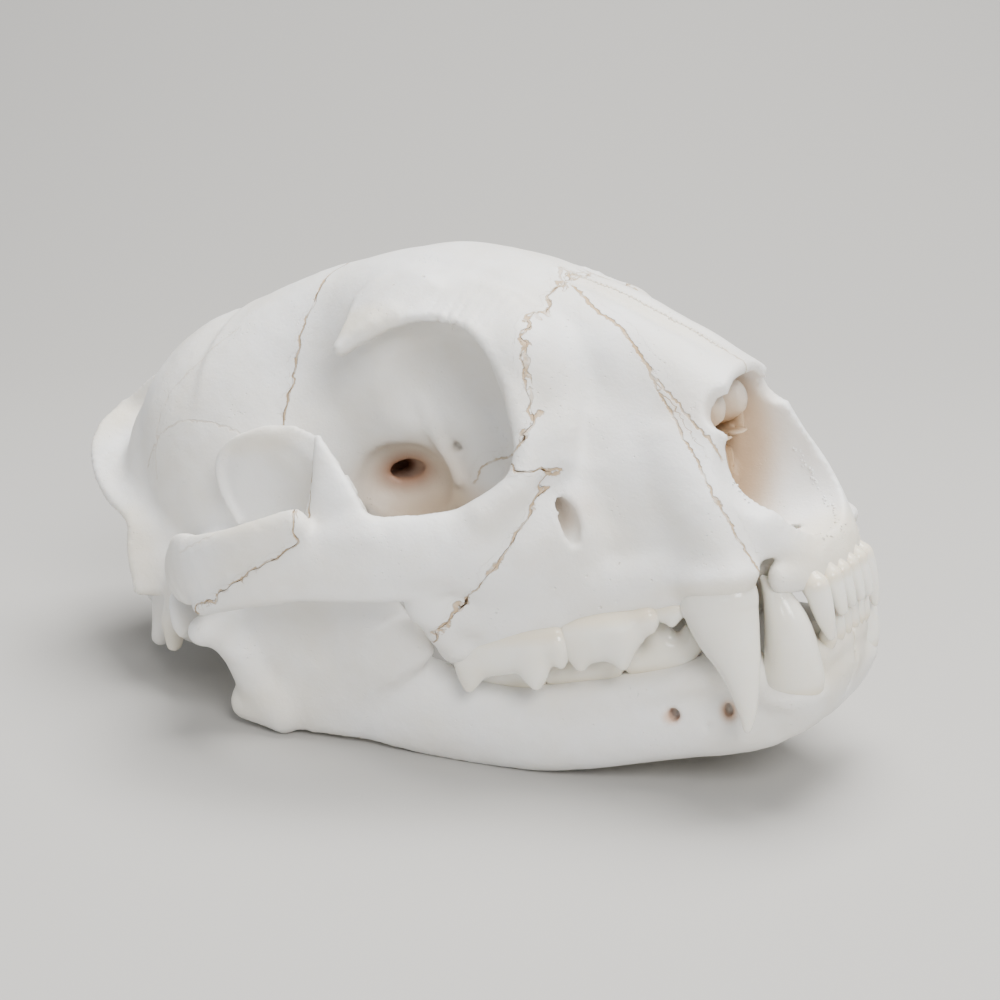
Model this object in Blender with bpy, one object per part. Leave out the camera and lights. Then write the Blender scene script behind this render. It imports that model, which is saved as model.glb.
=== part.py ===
"""Cougar skull with its lower jaw, life size, lying on the jaw with the snout raised.

The bones are shaped in the skull's own frame in millimetres: x = 0 at the front of the
upper jaw and negative backwards, y to the animal's left, z = 0 at the upper tooth row.
Each bone is a distance field of balls, straps and lofts, meshed, thinned, and cut where
a named bone ends. The finished bones are tilted to the resting pose and put on z = 0.
"""
import math

import bmesh
import bpy
import numpy as np
import openvdb
from mathutils import Matrix, Vector

# Driving dimensions, in millimetres and degrees
SKULL_LENGTH = 198.0
ARCH_HALF_WIDTH = 60.0
BRAINCASE_HALF_WIDTH = 34.5
BRAINCASE_TOP = 80.5
ORBIT_HALF_HEIGHT = 20.5
SNOUT_HALF_WIDTH = 25.5
SNOUT_TILT = 13.26
JAW_GAP = 0.3
SEAM = 0.3
FLOOR_SHAVE = 0.8
GRID_STEP = 1.8
FAR = 40.0
MILLIMETRE = 0.001

# Triangles that each bone is thinned to before its teeth are joined
CRANIUM_TRIANGLES = 6800
JAW_TRIANGLES = 1200

BONE_COLOUR = (0.86, 0.85, 0.82, 1.0)
BONE_ROUGHNESS = 0.55


def smooth_line(points, count):
    """Points on a smooth curve through the given points, which may hold sizes too."""
    points = np.array(points, float)
    padded = np.vstack([2 * points[0] - points[1], points, 2 * points[-1] - points[-2]])
    result = []
    for place in np.linspace(0, len(points) - 1, count):
        index = min(int(place), len(points) - 2)
        t = place - index
        a, b, c, d = padded[index:index + 4]
        result.append(0.5 * (2 * b + (c - a) * t + (2 * a - 5 * b + 4 * c - d) * t ** 2
                             + (3 * b - a - 3 * c + d) * t ** 3))
    return np.array(result)


def ball(centre, radii, reach=0.0):
    """Distance to an ellipsoid, with the box it can touch."""
    centre, radii = np.array(centre, float), np.array(radii, float)

    def distance(x, y, z):
        u, v, w = x - centre[0], y - centre[1], z - centre[2]
        near = np.sqrt((u / radii[0]) ** 2 + (v / radii[1]) ** 2 + (w / radii[2]) ** 2)
        slope = np.sqrt((u / radii[0] ** 2) ** 2 + (v / radii[1] ** 2) ** 2
                        + (w / radii[2] ** 2) ** 2)
        return near * (near - 1) / np.maximum(slope, 1e-6)

    return distance, centre - radii - reach, centre + radii + reach


def strap(path, up=(0, 0, 1), count=0):
    """Distance to a swept ellipse: rows of x, y, z, half height along up, half thickness."""
    path = smooth_line(path, count) if count else np.array(path, float)
    up = np.array(up, float)
    reach = path[:, 3:5].max()

    def distance(x, y, z):
        best = None
        for start, end in zip(path[:-1], path[1:]):
            run = end[:3] - start[:3]
            length = np.linalg.norm(run)
            along = run / length
            rise = up - along * (up @ along)
            rise = rise / np.linalg.norm(rise)
            side = np.cross(along, rise)
            u, v, w = x - start[0], y - start[1], z - start[2]
            place = u * along[0] + v * along[1] + w * along[2]
            t = np.clip(place / length, 0, 1)
            high = start[3] + (end[3] - start[3]) * t
            thick = start[4] + (end[4] - start[4]) * t
            over = place - t * length
            lift = u * rise[0] + v * rise[1] + w * rise[2]
            out = u * side[0] + v * side[1] + w * side[2]
            small = np.minimum(high, thick)
            near = np.sqrt((lift / high) ** 2 + (out / thick) ** 2 + (over / small) ** 2)
            slope = np.sqrt((lift / high ** 2) ** 2 + (out / thick ** 2) ** 2
                            + (over / small ** 2) ** 2)
            piece = near * (near - 1) / np.maximum(slope, 1e-6)
            best = piece if best is None else np.minimum(best, piece)
        return best

    return distance, path[:, :3].min(0) - reach, path[:, :3].max(0) + reach


def loft(stations):
    """Distance to a body along x: rows of x, half width, widest level, top, bottom, power."""
    stations = np.array(sorted(stations), float)
    dense = smooth_line(stations, 12 * len(stations))
    low, high = stations[0, 0], stations[-1, 0]

    def distance(x, y, z):
        half, middle, top, bottom, power = (np.interp(x, dense[:, 0], dense[:, k])
                                            for k in range(1, 6))
        tall = np.where(z > middle, top - middle, middle - bottom)
        u, v = np.abs(y) / half, np.abs(z - middle) / tall
        near = np.maximum((u ** power + v ** power) ** (1 / power), 1e-4)
        slope = near ** (1 - power) * np.sqrt((u ** (power - 1) / half) ** 2
                                              + (v ** (power - 1) / tall) ** 2)
        inside = (near - 1) / np.maximum(slope, 1e-4)
        ends = np.abs(x - (low + high) / 2) - (high - low) / 2
        both = np.maximum(inside, ends)
        corner = np.sqrt(np.maximum(inside, 0) ** 2 + np.maximum(ends, 0) ** 2)
        return np.where((inside > 0) & (ends > 0), corner, both)

    wide = stations[:, 1].max()
    return (distance, np.array([low, -wide, stations[:, 4].min()]),
            np.array([high, wide, stations[:, 3].max()]))


def web(outer, inner, outer_radius, inner_radius, count):
    """Distance to a thin sheet of bone between two lines."""
    outer, inner = smooth_line(outer, count), smooth_line(inner, count)
    spokes = [strap([(*a, outer_radius, outer_radius), (*b, inner_radius, inner_radius)],
                    up=(0.3, 0.2, 0.9)) for a, b in zip(outer, inner)]
    ends = np.vstack([outer, inner])

    def distance(x, y, z):
        best = None
        for spoke in spokes:
            piece = spoke[0](x, y, z)
            best = piece if best is None else np.minimum(best, piece)
        return best

    reach = max(outer_radius, inner_radius)
    return distance, ends.min(0) - reach, ends.max(0) + reach


class Bone:
    """A distance field on a grid, built up by soft unions and cuts."""

    def __init__(self, low, high, step=GRID_STEP):
        self.low, self.step = np.array(low, float), step
        self.axes = [np.arange(a, b + step, step) for a, b in zip(low, high)]
        self.field = np.full([len(axis) for axis in self.axes], FAR, np.float32)

    def window(self, shape, margin):
        """Slices of the grid near a shape, and its distance there."""
        distance, low, high = shape
        picks = []
        for axis, a, b in zip(self.axes, low - margin, high + margin):
            picks.append(slice(*np.searchsorted(axis, (a, b))))
        x, y, z = (axis[pick] for axis, pick in zip(self.axes, picks))
        values = distance(x[:, None, None], y[None, :, None], z[None, None, :])
        return tuple(picks), values.astype(np.float32)

    def add(self, shape, blend=3.0):
        """Soft union."""
        picks, values = self.window(shape, 3 * blend + 2 * self.step)
        here = self.field[picks]
        mix = np.clip(0.5 + 0.5 * (here - values) / blend, 0, 1)
        self.field[picks] = here * (1 - mix) + values * mix - blend * mix * (1 - mix)

    def cut(self, shape, blend=2.0):
        """Soft difference."""
        picks, values = self.window(shape, 3 * blend + 2 * self.step)
        here = self.field[picks]
        mix = np.clip(0.5 - 0.5 * (here + values) / blend, 0, 1)
        self.field[picks] = here * (1 - mix) - values * mix + blend * mix * (1 - mix)

    def mirrored(self):
        """The same field with its left half copied to the right."""
        whole = Bone.__new__(Bone)
        right = self.field[:, :0:-1, :]
        whole.field = np.concatenate([right, self.field], axis=1)
        whole.low = self.low.copy()
        whole.low[1] = -self.axes[1][-1]
        whole.step = self.step
        return whole

    def mesh(self, name):
        """Closed triangle mesh of the field's zero level."""
        grid = openvdb.FloatGrid(FAR)
        grid.copyFromArray(np.ascontiguousarray(self.field))
        points, triangles, quads = grid.convertToPolygons(0.0, 0.0)
        points = points * self.step + self.low
        faces = [tuple(map(int, face)) for face in list(triangles) + list(quads)]
        mesh = bpy.data.meshes.new(name)
        mesh.from_pydata([tuple(map(float, p)) for p in points], [], faces)
        body = bmesh.new()
        body.from_mesh(mesh)
        bmesh.ops.triangulate(body, faces=body.faces[:])
        bmesh.ops.recalc_face_normals(body, faces=body.faces[:])
        body.to_mesh(mesh)
        body.free()
        return mesh


def cranium_field(step=GRID_STEP):
    """Left half of the skull without the lower jaw."""
    bone = Bone((-212, 0, -20), (10, 70, 90), step)
    add_braincase(bone)
    add_roof_and_snout(bone)
    carve_face(bone)
    add_cheek(bone)
    add_skull_base(bone)
    add_crests(bone)
    return bone


def add_braincase(bone):
    """Brain room, temple wall and the narrow wall between the orbits."""
    bone.add(ball((-145, 0, 41), (38, BRAINCASE_HALF_WIDTH, 32.8)), 4)
    bone.add(ball((-142, 22, 30), (25, 12, 20)), 6)
    bone.add(ball((-172, 0, 33), (15, 27, 24)), 6)
    bone.add(loft([(-186, 13, 16, 30, 5, 2.2), (-178, 19, 18, 45, 5, 2.2),
                   (-165, 25, 22, 50, 5, 2.2), (-150, 27, 25, 50, 6, 2.2),
                   (-135, 25, 28, 60, 8, 2.2), (-122, 19, 32, 66, 9, 2.2),
                   (-112, 15, 34, 66, 8, 2.2), (-102, 13, 32, 66, 6, 2.2),
                   (-92, 12.5, 30, 64, 4, 2.2), (-82, 13, 28, 62, 3.5, 2.2),
                   (-72, 15, 26, 60, 3, 2.2), (-62, 24, 24, 50, 2, 2.2)]), 4)


def add_roof_and_snout(bone):
    """Forehead, nasal roof and the two upper jaw bones."""
    top = BRAINCASE_TOP
    bone.add(loft([(-142, 30, 50, top - 5.6, 20, 2.0), (-130, 27, 52, top - 2.9, 20, 2.0),
                   (-120, 22.5, 54, top - 1.2, 22, 2.1), (-112, 20.5, 56, top - 0.7, 22, 2.2),
                   (-103, 21.5, 60, top - 0.2, 26, 2.2), (-95, 22, 62, top, 30, 2.2),
                   (-86, 20, 62, top - 0.5, 34, 2.3), (-77, 18.8, 60, top - 2.5, 34, 2.4),
                   (-68, 19, 57, top - 5.3, 30, 2.4), (-60, 19.5, 54, top - 9, 26, 2.4),
                   (-52, 18.8, 50, top - 13.2, 22, 2.3), (-44, 17.5, 47, top - 17.3, 20, 2.3),
                   (-36, 16.4, 41, top - 22.9, 18, 2.3), (-28, 16, 35, top - 29, 16, 2.3),
                   (-22, 16.4, 31, top - 34, 16, 2.2), (-17.5, 16.8, 28, top - 39, 16, 2.2),
                   (-14, 17, 26, top - 46, 16, 2.2)]), 4)
    wide = SNOUT_HALF_WIDTH
    bone.add(loft([(1, 7.5, 5, 9, 0.5, 2.3), (-3, 13, 6, 14, 0, 2.4),
                   (-8, 17.5, 8, 22, -0.5, 2.3), (-13, 21.5, 9, 30, -0.5, 2.2),
                   (-19, wide - 0.5, 10, 38, -0.5, 2.2), (-26, wide, 11, 44, 0, 2.1),
                   (-34, wide + 0.5, 13, 48, 0.5, 2.1), (-42, wide + 2.5, 15, 50, 0.5, 2.2),
                   (-50, wide + 6, 17, 50, 0, 2.4), (-58, wide + 8.5, 16, 46, -0.5, 2.6),
                   (-66, wide + 9.5, 10, 34, -3.5, 2.6), (-74, wide + 9.5, 8, 26, -6, 2.6),
                   (-80, wide + 7.5, 6, 22, -6, 2.4), (-85, wide, 6, 20, -2, 2.2)]), 5)
    bone.add(ball((-58, 21, 48), (12, 11, 16)), 5)
    bone.add(strap([(-26, 24, 5, 6, 3.4), (-42, 27.5, 4, 6.6, 3.6), (-56, 30.5, 2.5, 7.6, 4.2),
                    (-70, 34, 0.5, 8.4, 4.4), (-80, 37, 0.5, 8.5, 3.8)], count=8), 3)
    bone.add(strap([(-18, 22.5, 4, 6.5, 5.5), (-23, 21, 18, 6, 5), (-30, 17, 32, 4, 3.5)],
                   up=(1, 0, 0)), 4)


def carve_face(bone):
    """Orbits, nose opening, palate, and the holes below the orbits."""
    tall = ORBIT_HALF_HEIGHT
    bone.cut(ball((-78, 33.5, 45.5), (24, 21.5, tall)), 2)
    bone.cut(ball((-45, 0, -9), (42, 22, 13)), 3)
    bone.cut(ball((-106, 0, 3), (24, 8, 11)), 2)
    bone.cut(loft([(8, 14, 20, 40, 12, 2.2), (-4, 15, 20, 40, 7.5, 2.2),
                   (-12, 15, 21, 38.5, 7.5, 2.2), (-19, 15, 23, 39, 8.5, 2.2),
                   (-27, 13, 25, 42, 10, 2.2), (-38, 11.5, 28, 46, 12, 2.2),
                   (-52, 7, 30, 42, 18, 2.2)]), 1.5)
    bone.cut(ball((-14, 6.5, 44), (10.5, 5.6, 10)), 1)
    bone.cut(ball((-11, 0, 46), (10, 6, 12)), 1)
    bone.cut(ball((-36, 38, 23), (13, 11, 15)), 4)


def add_cheek(bone):
    """Orbit rim, cheekbone and the bridge of bone back to the temple."""
    bone.add(strap([(-66, 20.5, 63.5, 2.4, 2.4), (-59.5, 26.5, 53, 2.6, 2.6),
                    (-55, 30.5, 44, 2.8, 2.8), (-53.5, 33, 36, 3.2, 3.2),
                    (-55, 36, 29.5, 3.6, 3.6), (-62, 40, 25, 4, 4)], count=12), 3)
    bone.add(strap([(-86, 16, 71, 5, 11), (-91, 25, 67.2, 3.6, 8.5), (-96.5, 32.5, 62.5, 1.6, 2.6)],
                   count=6), 4)
    bone.add(strap([(-50, 27, 17, 11, 7), (-59, 34, 16, 11, 7), (-67, 41, 17, 9.5, 5)]), 4)
    bone.add(strap([(-62, 32, 8, 8, 6), (-71, 38, 8, 9, 5), (-78, 45, 12, 8, 3.6)]), 4)
    bone.add(strap([(-77.5, 46, 9, 3.5, 3), (-78, 42, 1, 3.6, 3.2), (-77.5, 39, -4, 3, 2.8)],
                   up=(1, 0, 0)), 3)
    bone.cut(ball((-10.5, 18, -1.5), (6, 5.4, 6.5)), 1.5)
    bone.add(strap([(-66, 41, 18.5, 8.5, 4.5), (-74, 47, 18.5, 9, 4.2),
                    (-82, 51.5, 19.5, 9.5, 4), (-90, 55, 20, 8.8, 3.8),
                    (-99, 58, 19.5, 7, 3.6), (-109, ARCH_HALF_WIDTH, 17.5, 4.8, 3.4),
                    (-119, ARCH_HALF_WIDTH + 0.3, 15.5, 3.6, 3), (-128, 58.8, 13.5, 2.4, 2.6)],
                   count=15), 2)
    bone.add(strap([(-90, 52.5, 25, 7, 3), (-94, 51, 36, 4.4, 2.4), (-96.5, 48.8, 45, 1.7, 1.5)],
                   up=(1, 0, 0), count=6), 3)
    bone.add(strap([(-140, 50, 19, 8, 4.5), (-136, 55, 21, 8, 3.6), (-127, 58.5, 21.8, 8, 3.2),
                    (-117, ARCH_HALF_WIDTH, 25, 5.6, 3), (-107, ARCH_HALF_WIDTH, 27.5, 4.4, 3),
                    (-97, 58, 29.5, 3.8, 2.8)], count=12), 2)
    bone.cut(strap([(-37, 40, 16.5, 4.8, 3), (-46, 32, 20, 4.8, 3),
                    (-55, 29, 23.5, 4.6, 3), (-66, 28.5, 28, 4.6, 3.2)]), 1)


def add_skull_base(bone):
    """Joint sockets, ear bullae, wing plates, and the bony tips behind the ear."""
    bone.add(strap([(-144, 26, 20, 6, 10), (-143.5, 38, 18.5, 6, 9), (-140, 50, 19, 7, 7.5)]), 4)
    bone.cut(strap([(-140.5, 30, 5.5, 6.4, 6.4), (-138.5, 62, 5.8, 6.4, 6.4)]), 2)
    bone.add(strap([(-148.5, 32, 8, 7, 2.4), (-148, 47, 8.5, 6, 2.2)]), 2)
    bone.add(strap([(-84, 11, 8, 8, 2), (-98, 10.5, 7, 7.5, 1.7), (-110, 10.5, 6.5, 6.5, 1.6),
                    (-119, 9.5, 4, 3.6, 1.6)]), 2)
    bone.add(ball((-163, 20.5, 5), (15, 10, 12)), 2)
    bone.add(ball((-154, 30, 10), (8, 8, 7)), 4)
    bone.cut(ball((-153, 40, 10.5), (4.5, 10, 4)), 1)
    bone.add(strap([(-156, 33, 14, 5, 5), (-160.5, 36.5, 4, 3.4, 3.4),
                    (-161, 37.5, -1, 2.2, 2.2)]), 3)
    bone.add(strap([(-171, 23, 10, 5.5, 5), (-176, 27, -2, 2.6, 2.6)]), 3)
    bone.add(ball((-184.5, 11, 9), (7, 7.5, 9)), 3)
    bone.cut(ball((-192, 0, 14), (17, 8, 7.5)), 2)


def add_crests(bone):
    """Crest along the top and the winged crest around the back of the skull."""
    bone.add(strap([(-150, 0, 65.8, 7.2, 3), (-160, 0, 62.2, 7.4, 2.6), (-170, 0, 58.5, 7.3, 2.4),
                    (-180, 0, 54.6, 7.4, 2.3), (-190, 0, 50.2, 7.4, 2.3), (-196, 0, 47.6, 6, 2.3)],
                   count=12), 3)
    back = -SKULL_LENGTH
    rim = [(back + 1, 0, 53), (back + 1, 8, 50.5), (back + 4, 16, 46), (back + 11, 24, 39.5),
           (back + 20, 30, 34.5), (-169.5, 33.5, 29), (-169.5, 35.5, 22), (-168.5, 37, 13)]
    root = [(-180, 0, 47), (-178, 7, 45), (-175, 13, 41), (-170, 19, 36),
            (-164, 24, 31), (-160, 27, 25), (-158, 28, 18), (-157, 29, 11)]
    bone.add(web(rim, root, 1.9, 3.4, 44), 3)


def jaw_field(step=GRID_STEP):
    """Left half of the lower jaw, running past the middle plane where it will be cut."""
    bone = Bone((-150, -8, -42), (8, 66, 56), step)
    bone.add(strap([(-8, 7.5, -23, 9, 6.5), (-16, 11.5, -26.8, 8.6, 6.8),
                    (-26, 15, -27, 9, 6), (-38, 18.5, -26.6, 9.4, 5.8),
                    (-50, 21.8, -26.7, 9.6, 5.8), (-62, 25, -26.9, 9.5, 5.8),
                    (-74, 28, -26, 9.1, 5.6), (-86, 30.5, -22.3, 10.6, 5),
                    (-98, 33.5, -17, 11.9, 4.4), (-110, 36, -11.8, 13.4, 4),
                    (-121, 38.5, -10, 13.2, 4), (-130, 40.5, -12, 9.8, 4)], count=24), 3)
    bone.add(strap([(-108, 36, -13, 26, 4), (-111.5, 38.5, -3, 26.5, 4), (-111, 39.5, 7, 23, 3.4),
                    (-108.5, 38.5, 18, 17, 2.7), (-111, 39, 30, 15, 2.5),
                    (-117.5, 40, 39, 14.5, 2.2), (-119.5, 40.5, 44, 10, 2.0)],
                   up=(1, 0, 0), count=14), 3)
    bone.add(strap([(-116, 38, -2, 7, 3.6), (-135, 43, 3, 5, 3.8)]), 4)
    bone.add(strap([(-140.5, 33, 4, 4.6, 4.6), (-139.5, 45, 4.8, 5, 5), (-138.5, 56, 5, 4, 4)]), 2)
    bone.add(strap([(-138, 51, 4, 5, 4), (-136.5, 46, -2, 6, 3.8), (-134.5, 43, -9, 6, 3.8)],
                   up=(1, 0, 0)), 3)
    bone.add(strap([(-128, 41, -16.4, 5.6, 4), (-138, 42, -14, 4.4, 3.4)]), 3)
    bone.add(ball((-10.5, 0, -19), (8.2, 12, 8)), 4)
    bone.add(ball((-17, 0, -26.5), (10, 14, 8.5)), 4)
    bone.add(ball((-11.5, 13, -24), (8, 7.5, 8)), 4)
    bone.cut(ball((-111, 49.5, 8), (20, 7.5, 20)), 4)
    return bone


def crown(rings, sides=8):
    """Closed tooth from rings of centre x, y, z, half length along x, half width along y."""
    points, faces = [], []
    for x, y, z, long, wide in rings:
        for k in range(sides):
            angle = 2 * math.pi * k / sides
            points.append((x + long * math.cos(angle), y + wide * math.sin(angle), z))
    for r in range(len(rings) - 1):
        for k in range(sides):
            a, b = r * sides + k, r * sides + (k + 1) % sides
            faces.append((a, b, b + sides, a + sides))
    faces.append(tuple(range(sides)))
    faces.append(tuple(range((len(rings) - 1) * sides, len(rings) * sides)))
    return points, faces


def blade(start, end, crest, half_width, base, root):
    """Closed cheek tooth: crest heights along a line from start to end, both x, y."""
    points, faces = [], []
    start, end = np.array(start, float), np.array(end, float)
    along = (end - start) / np.linalg.norm(end - start)
    side = np.array([-along[1], along[0]])
    for k, height in enumerate(crest):
        t = k / (len(crest) - 1)
        middle = start + (end - start) * t
        bulge = half_width * (0.45 + 0.55 * math.sin(math.pi * min(max(t, 0.06), 0.94)))
        for across, level in ((-0.8, root), (-1, base), (-0.25, height), (0.25, height),
                              (1, base), (0.8, root)):
            place = middle + side * bulge * across
            points.append((place[0], place[1], level))
    sides = 6
    for r in range(len(crest) - 1):
        for k in range(sides):
            a, b = r * sides + k, r * sides + (k + 1) % sides
            faces.append((a, b, b + sides, a + sides))
    faces.append(tuple(range(sides)))
    faces.append(tuple(range((len(crest) - 1) * sides, len(crest) * sides)))
    return points, faces


def upper_teeth(side):
    """Incisors, canine and cheek teeth of one upper half, side +1 left or -1 right."""
    teeth = []
    for x, y, wide, tip in ((0.5, 2.5, 2.1, -6.5), (-0.6, 7.0, 2.4, -7), (-3, 12, 3.2, -9.5)):
        teeth.append(crown([(x - 1.5, y, 4, 2.4, wide * 0.8), (x, y, -0.5, 2.6, wide),
                            (x + 0.4, y, tip * 0.6, 2.1, wide * 0.95),
                            (x - 0.2, y, tip, 0.7, wide * 0.55)], sides=6))
    teeth.append(crown([(-22, 21, 8, 6.5, 4.5), (-21.3, 22.3, 0, 8.2, 5.6), (-20, 23.5, -7, 7.2, 5.1),
                        (-18.7, 24.8, -14, 5.6, 4.2), (-17.8, 25.8, -20, 3.9, 3),
                        (-17.5, 26.6, -24.5, 2.1, 1.7), (-17.6, 26.9, -27, 0.8, 0.7)], sides=10))
    teeth.append(crown([(-33, 25.5, 4, 1.8, 1.6), (-33, 25.5, -2, 2, 1.8),
                        (-33, 25.5, -4, 0.8, 0.7)], sides=6))
    teeth.append(blade((-38, 27.5), (-55, 31.5), (-5, -7.5, -13.5, -9.5, -7, -7.5, -5), 3.4, -2, 4))
    teeth.append(blade((-55, 32), (-79, 36.6), (-6, -9, -10, -15, -12, -12, -14, -13, -8), 4.2, -4, 0))
    return [([(x, y * side, z) for x, y, z in points], faces) for points, faces in teeth]


def lower_teeth(side):
    """Incisors, canine and cheek teeth of one lower half."""
    teeth = []
    for x, y, wide in ((-5, 2.1, 1.6), (-5.4, 5.4, 1.8), (-6.6, 9, 2)):
        teeth.append(crown([(x - 1.5, y, -17, 1.8, wide * 0.8), (x, y, -12, 2.1, wide),
                            (x + 0.3, y, -8.5, 1.6, wide), (x, y, -6.2, 0.6, wide * 0.6)], sides=6))
    teeth.append(crown([(-12, 12.5, -28, 5.5, 4.5), (-9.8, 14, -19, 6.8, 5),
                        (-8.6, 15, -12, 6, 4.6), (-8.6, 15.8, -5.5, 4.6, 3.6),
                        (-9.8, 16.3, -1, 2.8, 2.3), (-11.5, 16.5, 2.2, 0.7, 0.7)], sides=10))
    teeth.append(blade((-30, 17.8), (-46, 21), (-13, -7.5, -4.2, -7.5, -11, -13), 2.8, -16, -21))
    teeth.append(blade((-46.5, 21.2), (-62, 24.2), (-13.5, -9, -5, -8.5, -9.5, -13), 3, -16, -21))
    teeth.append(blade((-62.5, 24.3), (-80, 27.8), (-13.5, -7, -5, -9, -5.5, -5, -13), 3, -16, -21))
    return [([(x, y * side, z) for x, y, z in points], faces) for points, faces in teeth]


def plain_object(name, mesh):
    """A mesh as an object in the scene."""
    item = bpy.data.objects.new(name, mesh)
    bpy.context.scene.collection.objects.link(item)
    return item


def remove_object(item):
    """Take an object and its mesh out of the file."""
    mesh = item.data
    bpy.data.objects.remove(item)
    bpy.data.meshes.remove(mesh)


def settle(item):
    """Replace an object's mesh by the result of its modifiers."""
    graph = bpy.context.evaluated_depsgraph_get()
    mesh = bpy.data.meshes.new_from_object(item.evaluated_get(graph))
    item.modifiers.clear()
    item.data = mesh


def thin_out(item, triangles):
    """Collapse a mesh to about a number of triangles."""
    change = item.modifiers.new("thin", 'DECIMATE')
    change.ratio = min(1.0, triangles / len(item.data.polygons))
    change.use_collapse_triangulate = True
    settle(item)


def keep_largest(item):
    """Drop every loose shell but the one with the most faces."""
    body = bmesh.new()
    body.from_mesh(item.data)
    unseen, shells = set(body.verts), []
    while unseen:
        front = [unseen.pop()]
        shell = list(front)
        while front:
            for edge in front.pop().link_edges:
                for vert in edge.verts:
                    if vert in unseen:
                        unseen.discard(vert)
                        front.append(vert)
                        shell.append(vert)
        shells.append(shell)
    shells.sort(key=len)
    for shell in shells[:-1]:
        bmesh.ops.delete(body, geom=shell, context='VERTS')
    bmesh.ops.triangulate(body, faces=body.faces[:])
    body.to_mesh(item.data)
    body.free()


def region(planes, grow):
    """Convex block behind every plane, each a point and an outward normal, grown a little."""
    body = bmesh.new()
    bmesh.ops.create_cube(body, size=700)
    for point, normal in planes:
        normal = Vector(normal).normalized()
        everything = body.verts[:] + body.edges[:] + body.faces[:]
        bmesh.ops.bisect_plane(body, geom=everything, plane_co=Vector(point) + normal * grow,
                               plane_no=normal, clear_outer=True)
        bmesh.ops.contextual_create(body, geom=[e for e in body.edges if e.is_boundary])
    bmesh.ops.recalc_face_normals(body, faces=body.faces[:])
    mesh = bpy.data.meshes.new("region")
    body.to_mesh(mesh)
    body.free()
    return plain_object("region", mesh)


def boolean(item, operation, other):
    """Apply one Boolean with another object, which is then removed."""
    change = item.modifiers.new("boolean", 'BOOLEAN')
    change.operation = operation
    change.object = other
    settle(item)
    remove_object(other)


def part_off(whole, name, planes):
    """Cut the block behind the planes out of a bone, with a thin seam between the two."""
    piece = plain_object(name, whole.data.copy())
    boolean(piece, 'INTERSECT', region(planes, -SEAM / 2))
    boolean(whole, 'DIFFERENCE', region(planes, SEAM / 2))
    keep_largest(piece)
    return piece


def join_teeth(item, teeth):
    """Unite closed teeth with the bone that they grow from."""
    group = bpy.data.collections.new("teeth")
    bpy.context.scene.collection.children.link(group)
    for points, faces in teeth:
        mesh = bpy.data.meshes.new("tooth")
        mesh.from_pydata(points, [], faces)
        body = bmesh.new()
        body.from_mesh(mesh)
        bmesh.ops.triangulate(body, faces=body.faces[:])
        bmesh.ops.recalc_face_normals(body, faces=body.faces[:])
        body.to_mesh(mesh)
        body.free()
        group.objects.link(bpy.data.objects.new("tooth", mesh))
    change = item.modifiers.new("teeth", 'BOOLEAN')
    change.operation = 'UNION'
    change.operand_type = 'COLLECTION'
    change.collection = group
    settle(item)
    for tooth in list(group.objects):
        remove_object(tooth)
    bpy.data.collections.remove(group)
    keep_largest(item)


def mirrored_planes(planes, side):
    """Planes of the left side turned over to the given side."""
    return [((x, y * side, z), (u, v * side, w)) for (x, y, z), (u, v, w) in planes]


CHEEK_CUT = [((-46, 35, 30), (0.57, -0.38, -0.73)), ((-56, 33, 30), (-0.23, -0.97, 0)),
             ((-56, 33, 34), (0.42, 0, 0.91)), ((-133, 55, 10), (-1, 0, 0))]
BAR_CUT = [((-96.5, 58, 30), (1, 0, 0)), ((-97, 58, 25.5), (0.37, 0, -0.93)),
           ((-100, 45, 30), (0, -1, 0)), ((-131, 58, 25), (-1, 0, 0)),
           ((-100, 58, 40), (0, 0, 1))]
BRAINCASE_CUT = [((-114, 0, 79), (1, 0, -0.28))]
FOREHEAD_CUT = [((-55, 0, 70), (1, 0, 0)), ((-56, 0, 36), (0.73, 0, -0.69))]


def cranium_nodes():
    """Skull bones without the jaw: braincase, forehead, snout, cheekbones and side bars."""
    whole = plain_object("snout", cranium_field().mirrored().mesh("snout"))
    thin_out(whole, CRANIUM_TRIANGLES)
    nodes = [whole]
    for side, word in ((1, "left"), (-1, "right")):
        nodes.append(part_off(whole, "temple_bar_" + word, mirrored_planes(BAR_CUT, side)))
        nodes.append(part_off(whole, "cheekbone_" + word, mirrored_planes(CHEEK_CUT, side)))
    nodes.append(part_off(whole, "braincase", BRAINCASE_CUT))
    nodes.append(part_off(whole, "forehead", FOREHEAD_CUT))
    keep_largest(whole)
    join_teeth(whole, upper_teeth(1) + upper_teeth(-1))
    return nodes


def turned(x, z):
    """Height of a point of the skull's own frame once the snout is raised."""
    tilt = math.radians(SNOUT_TILT)
    return x * math.sin(tilt) + z * math.cos(tilt)


def jaw_nodes():
    """The two halves of the lower jaw, shaved to small flats where they touch the floor."""
    half = jaw_field()
    nodes = []
    for side, word in ((1, "left"), (-1, "right")):
        jaw = plain_object("jaw_" + word, half.mesh("jaw"))
        thin_out(jaw, JAW_TRIANGLES)
        if side < 0:
            jaw.data.transform(Matrix.Diagonal((1, -1, 1, 1)))
            jaw.data.flip_normals()
        join_teeth(jaw, lower_teeth(side))
        tilt = math.radians(SNOUT_TILT)
        lowest = min(turned(v.co.x, v.co.z) for v in jaw.data.vertices)
        floor = lowest + FLOOR_SHAVE
        upright = Vector((math.sin(tilt), 0, math.cos(tilt)))
        planes = [((0, JAW_GAP / 2 * side, 0), (0, -side, 0)), (upright * floor, -upright)]
        boolean(jaw, 'INTERSECT', region(planes, 0))
        keep_largest(jaw)
        nodes.append(jaw)
    return nodes


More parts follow.
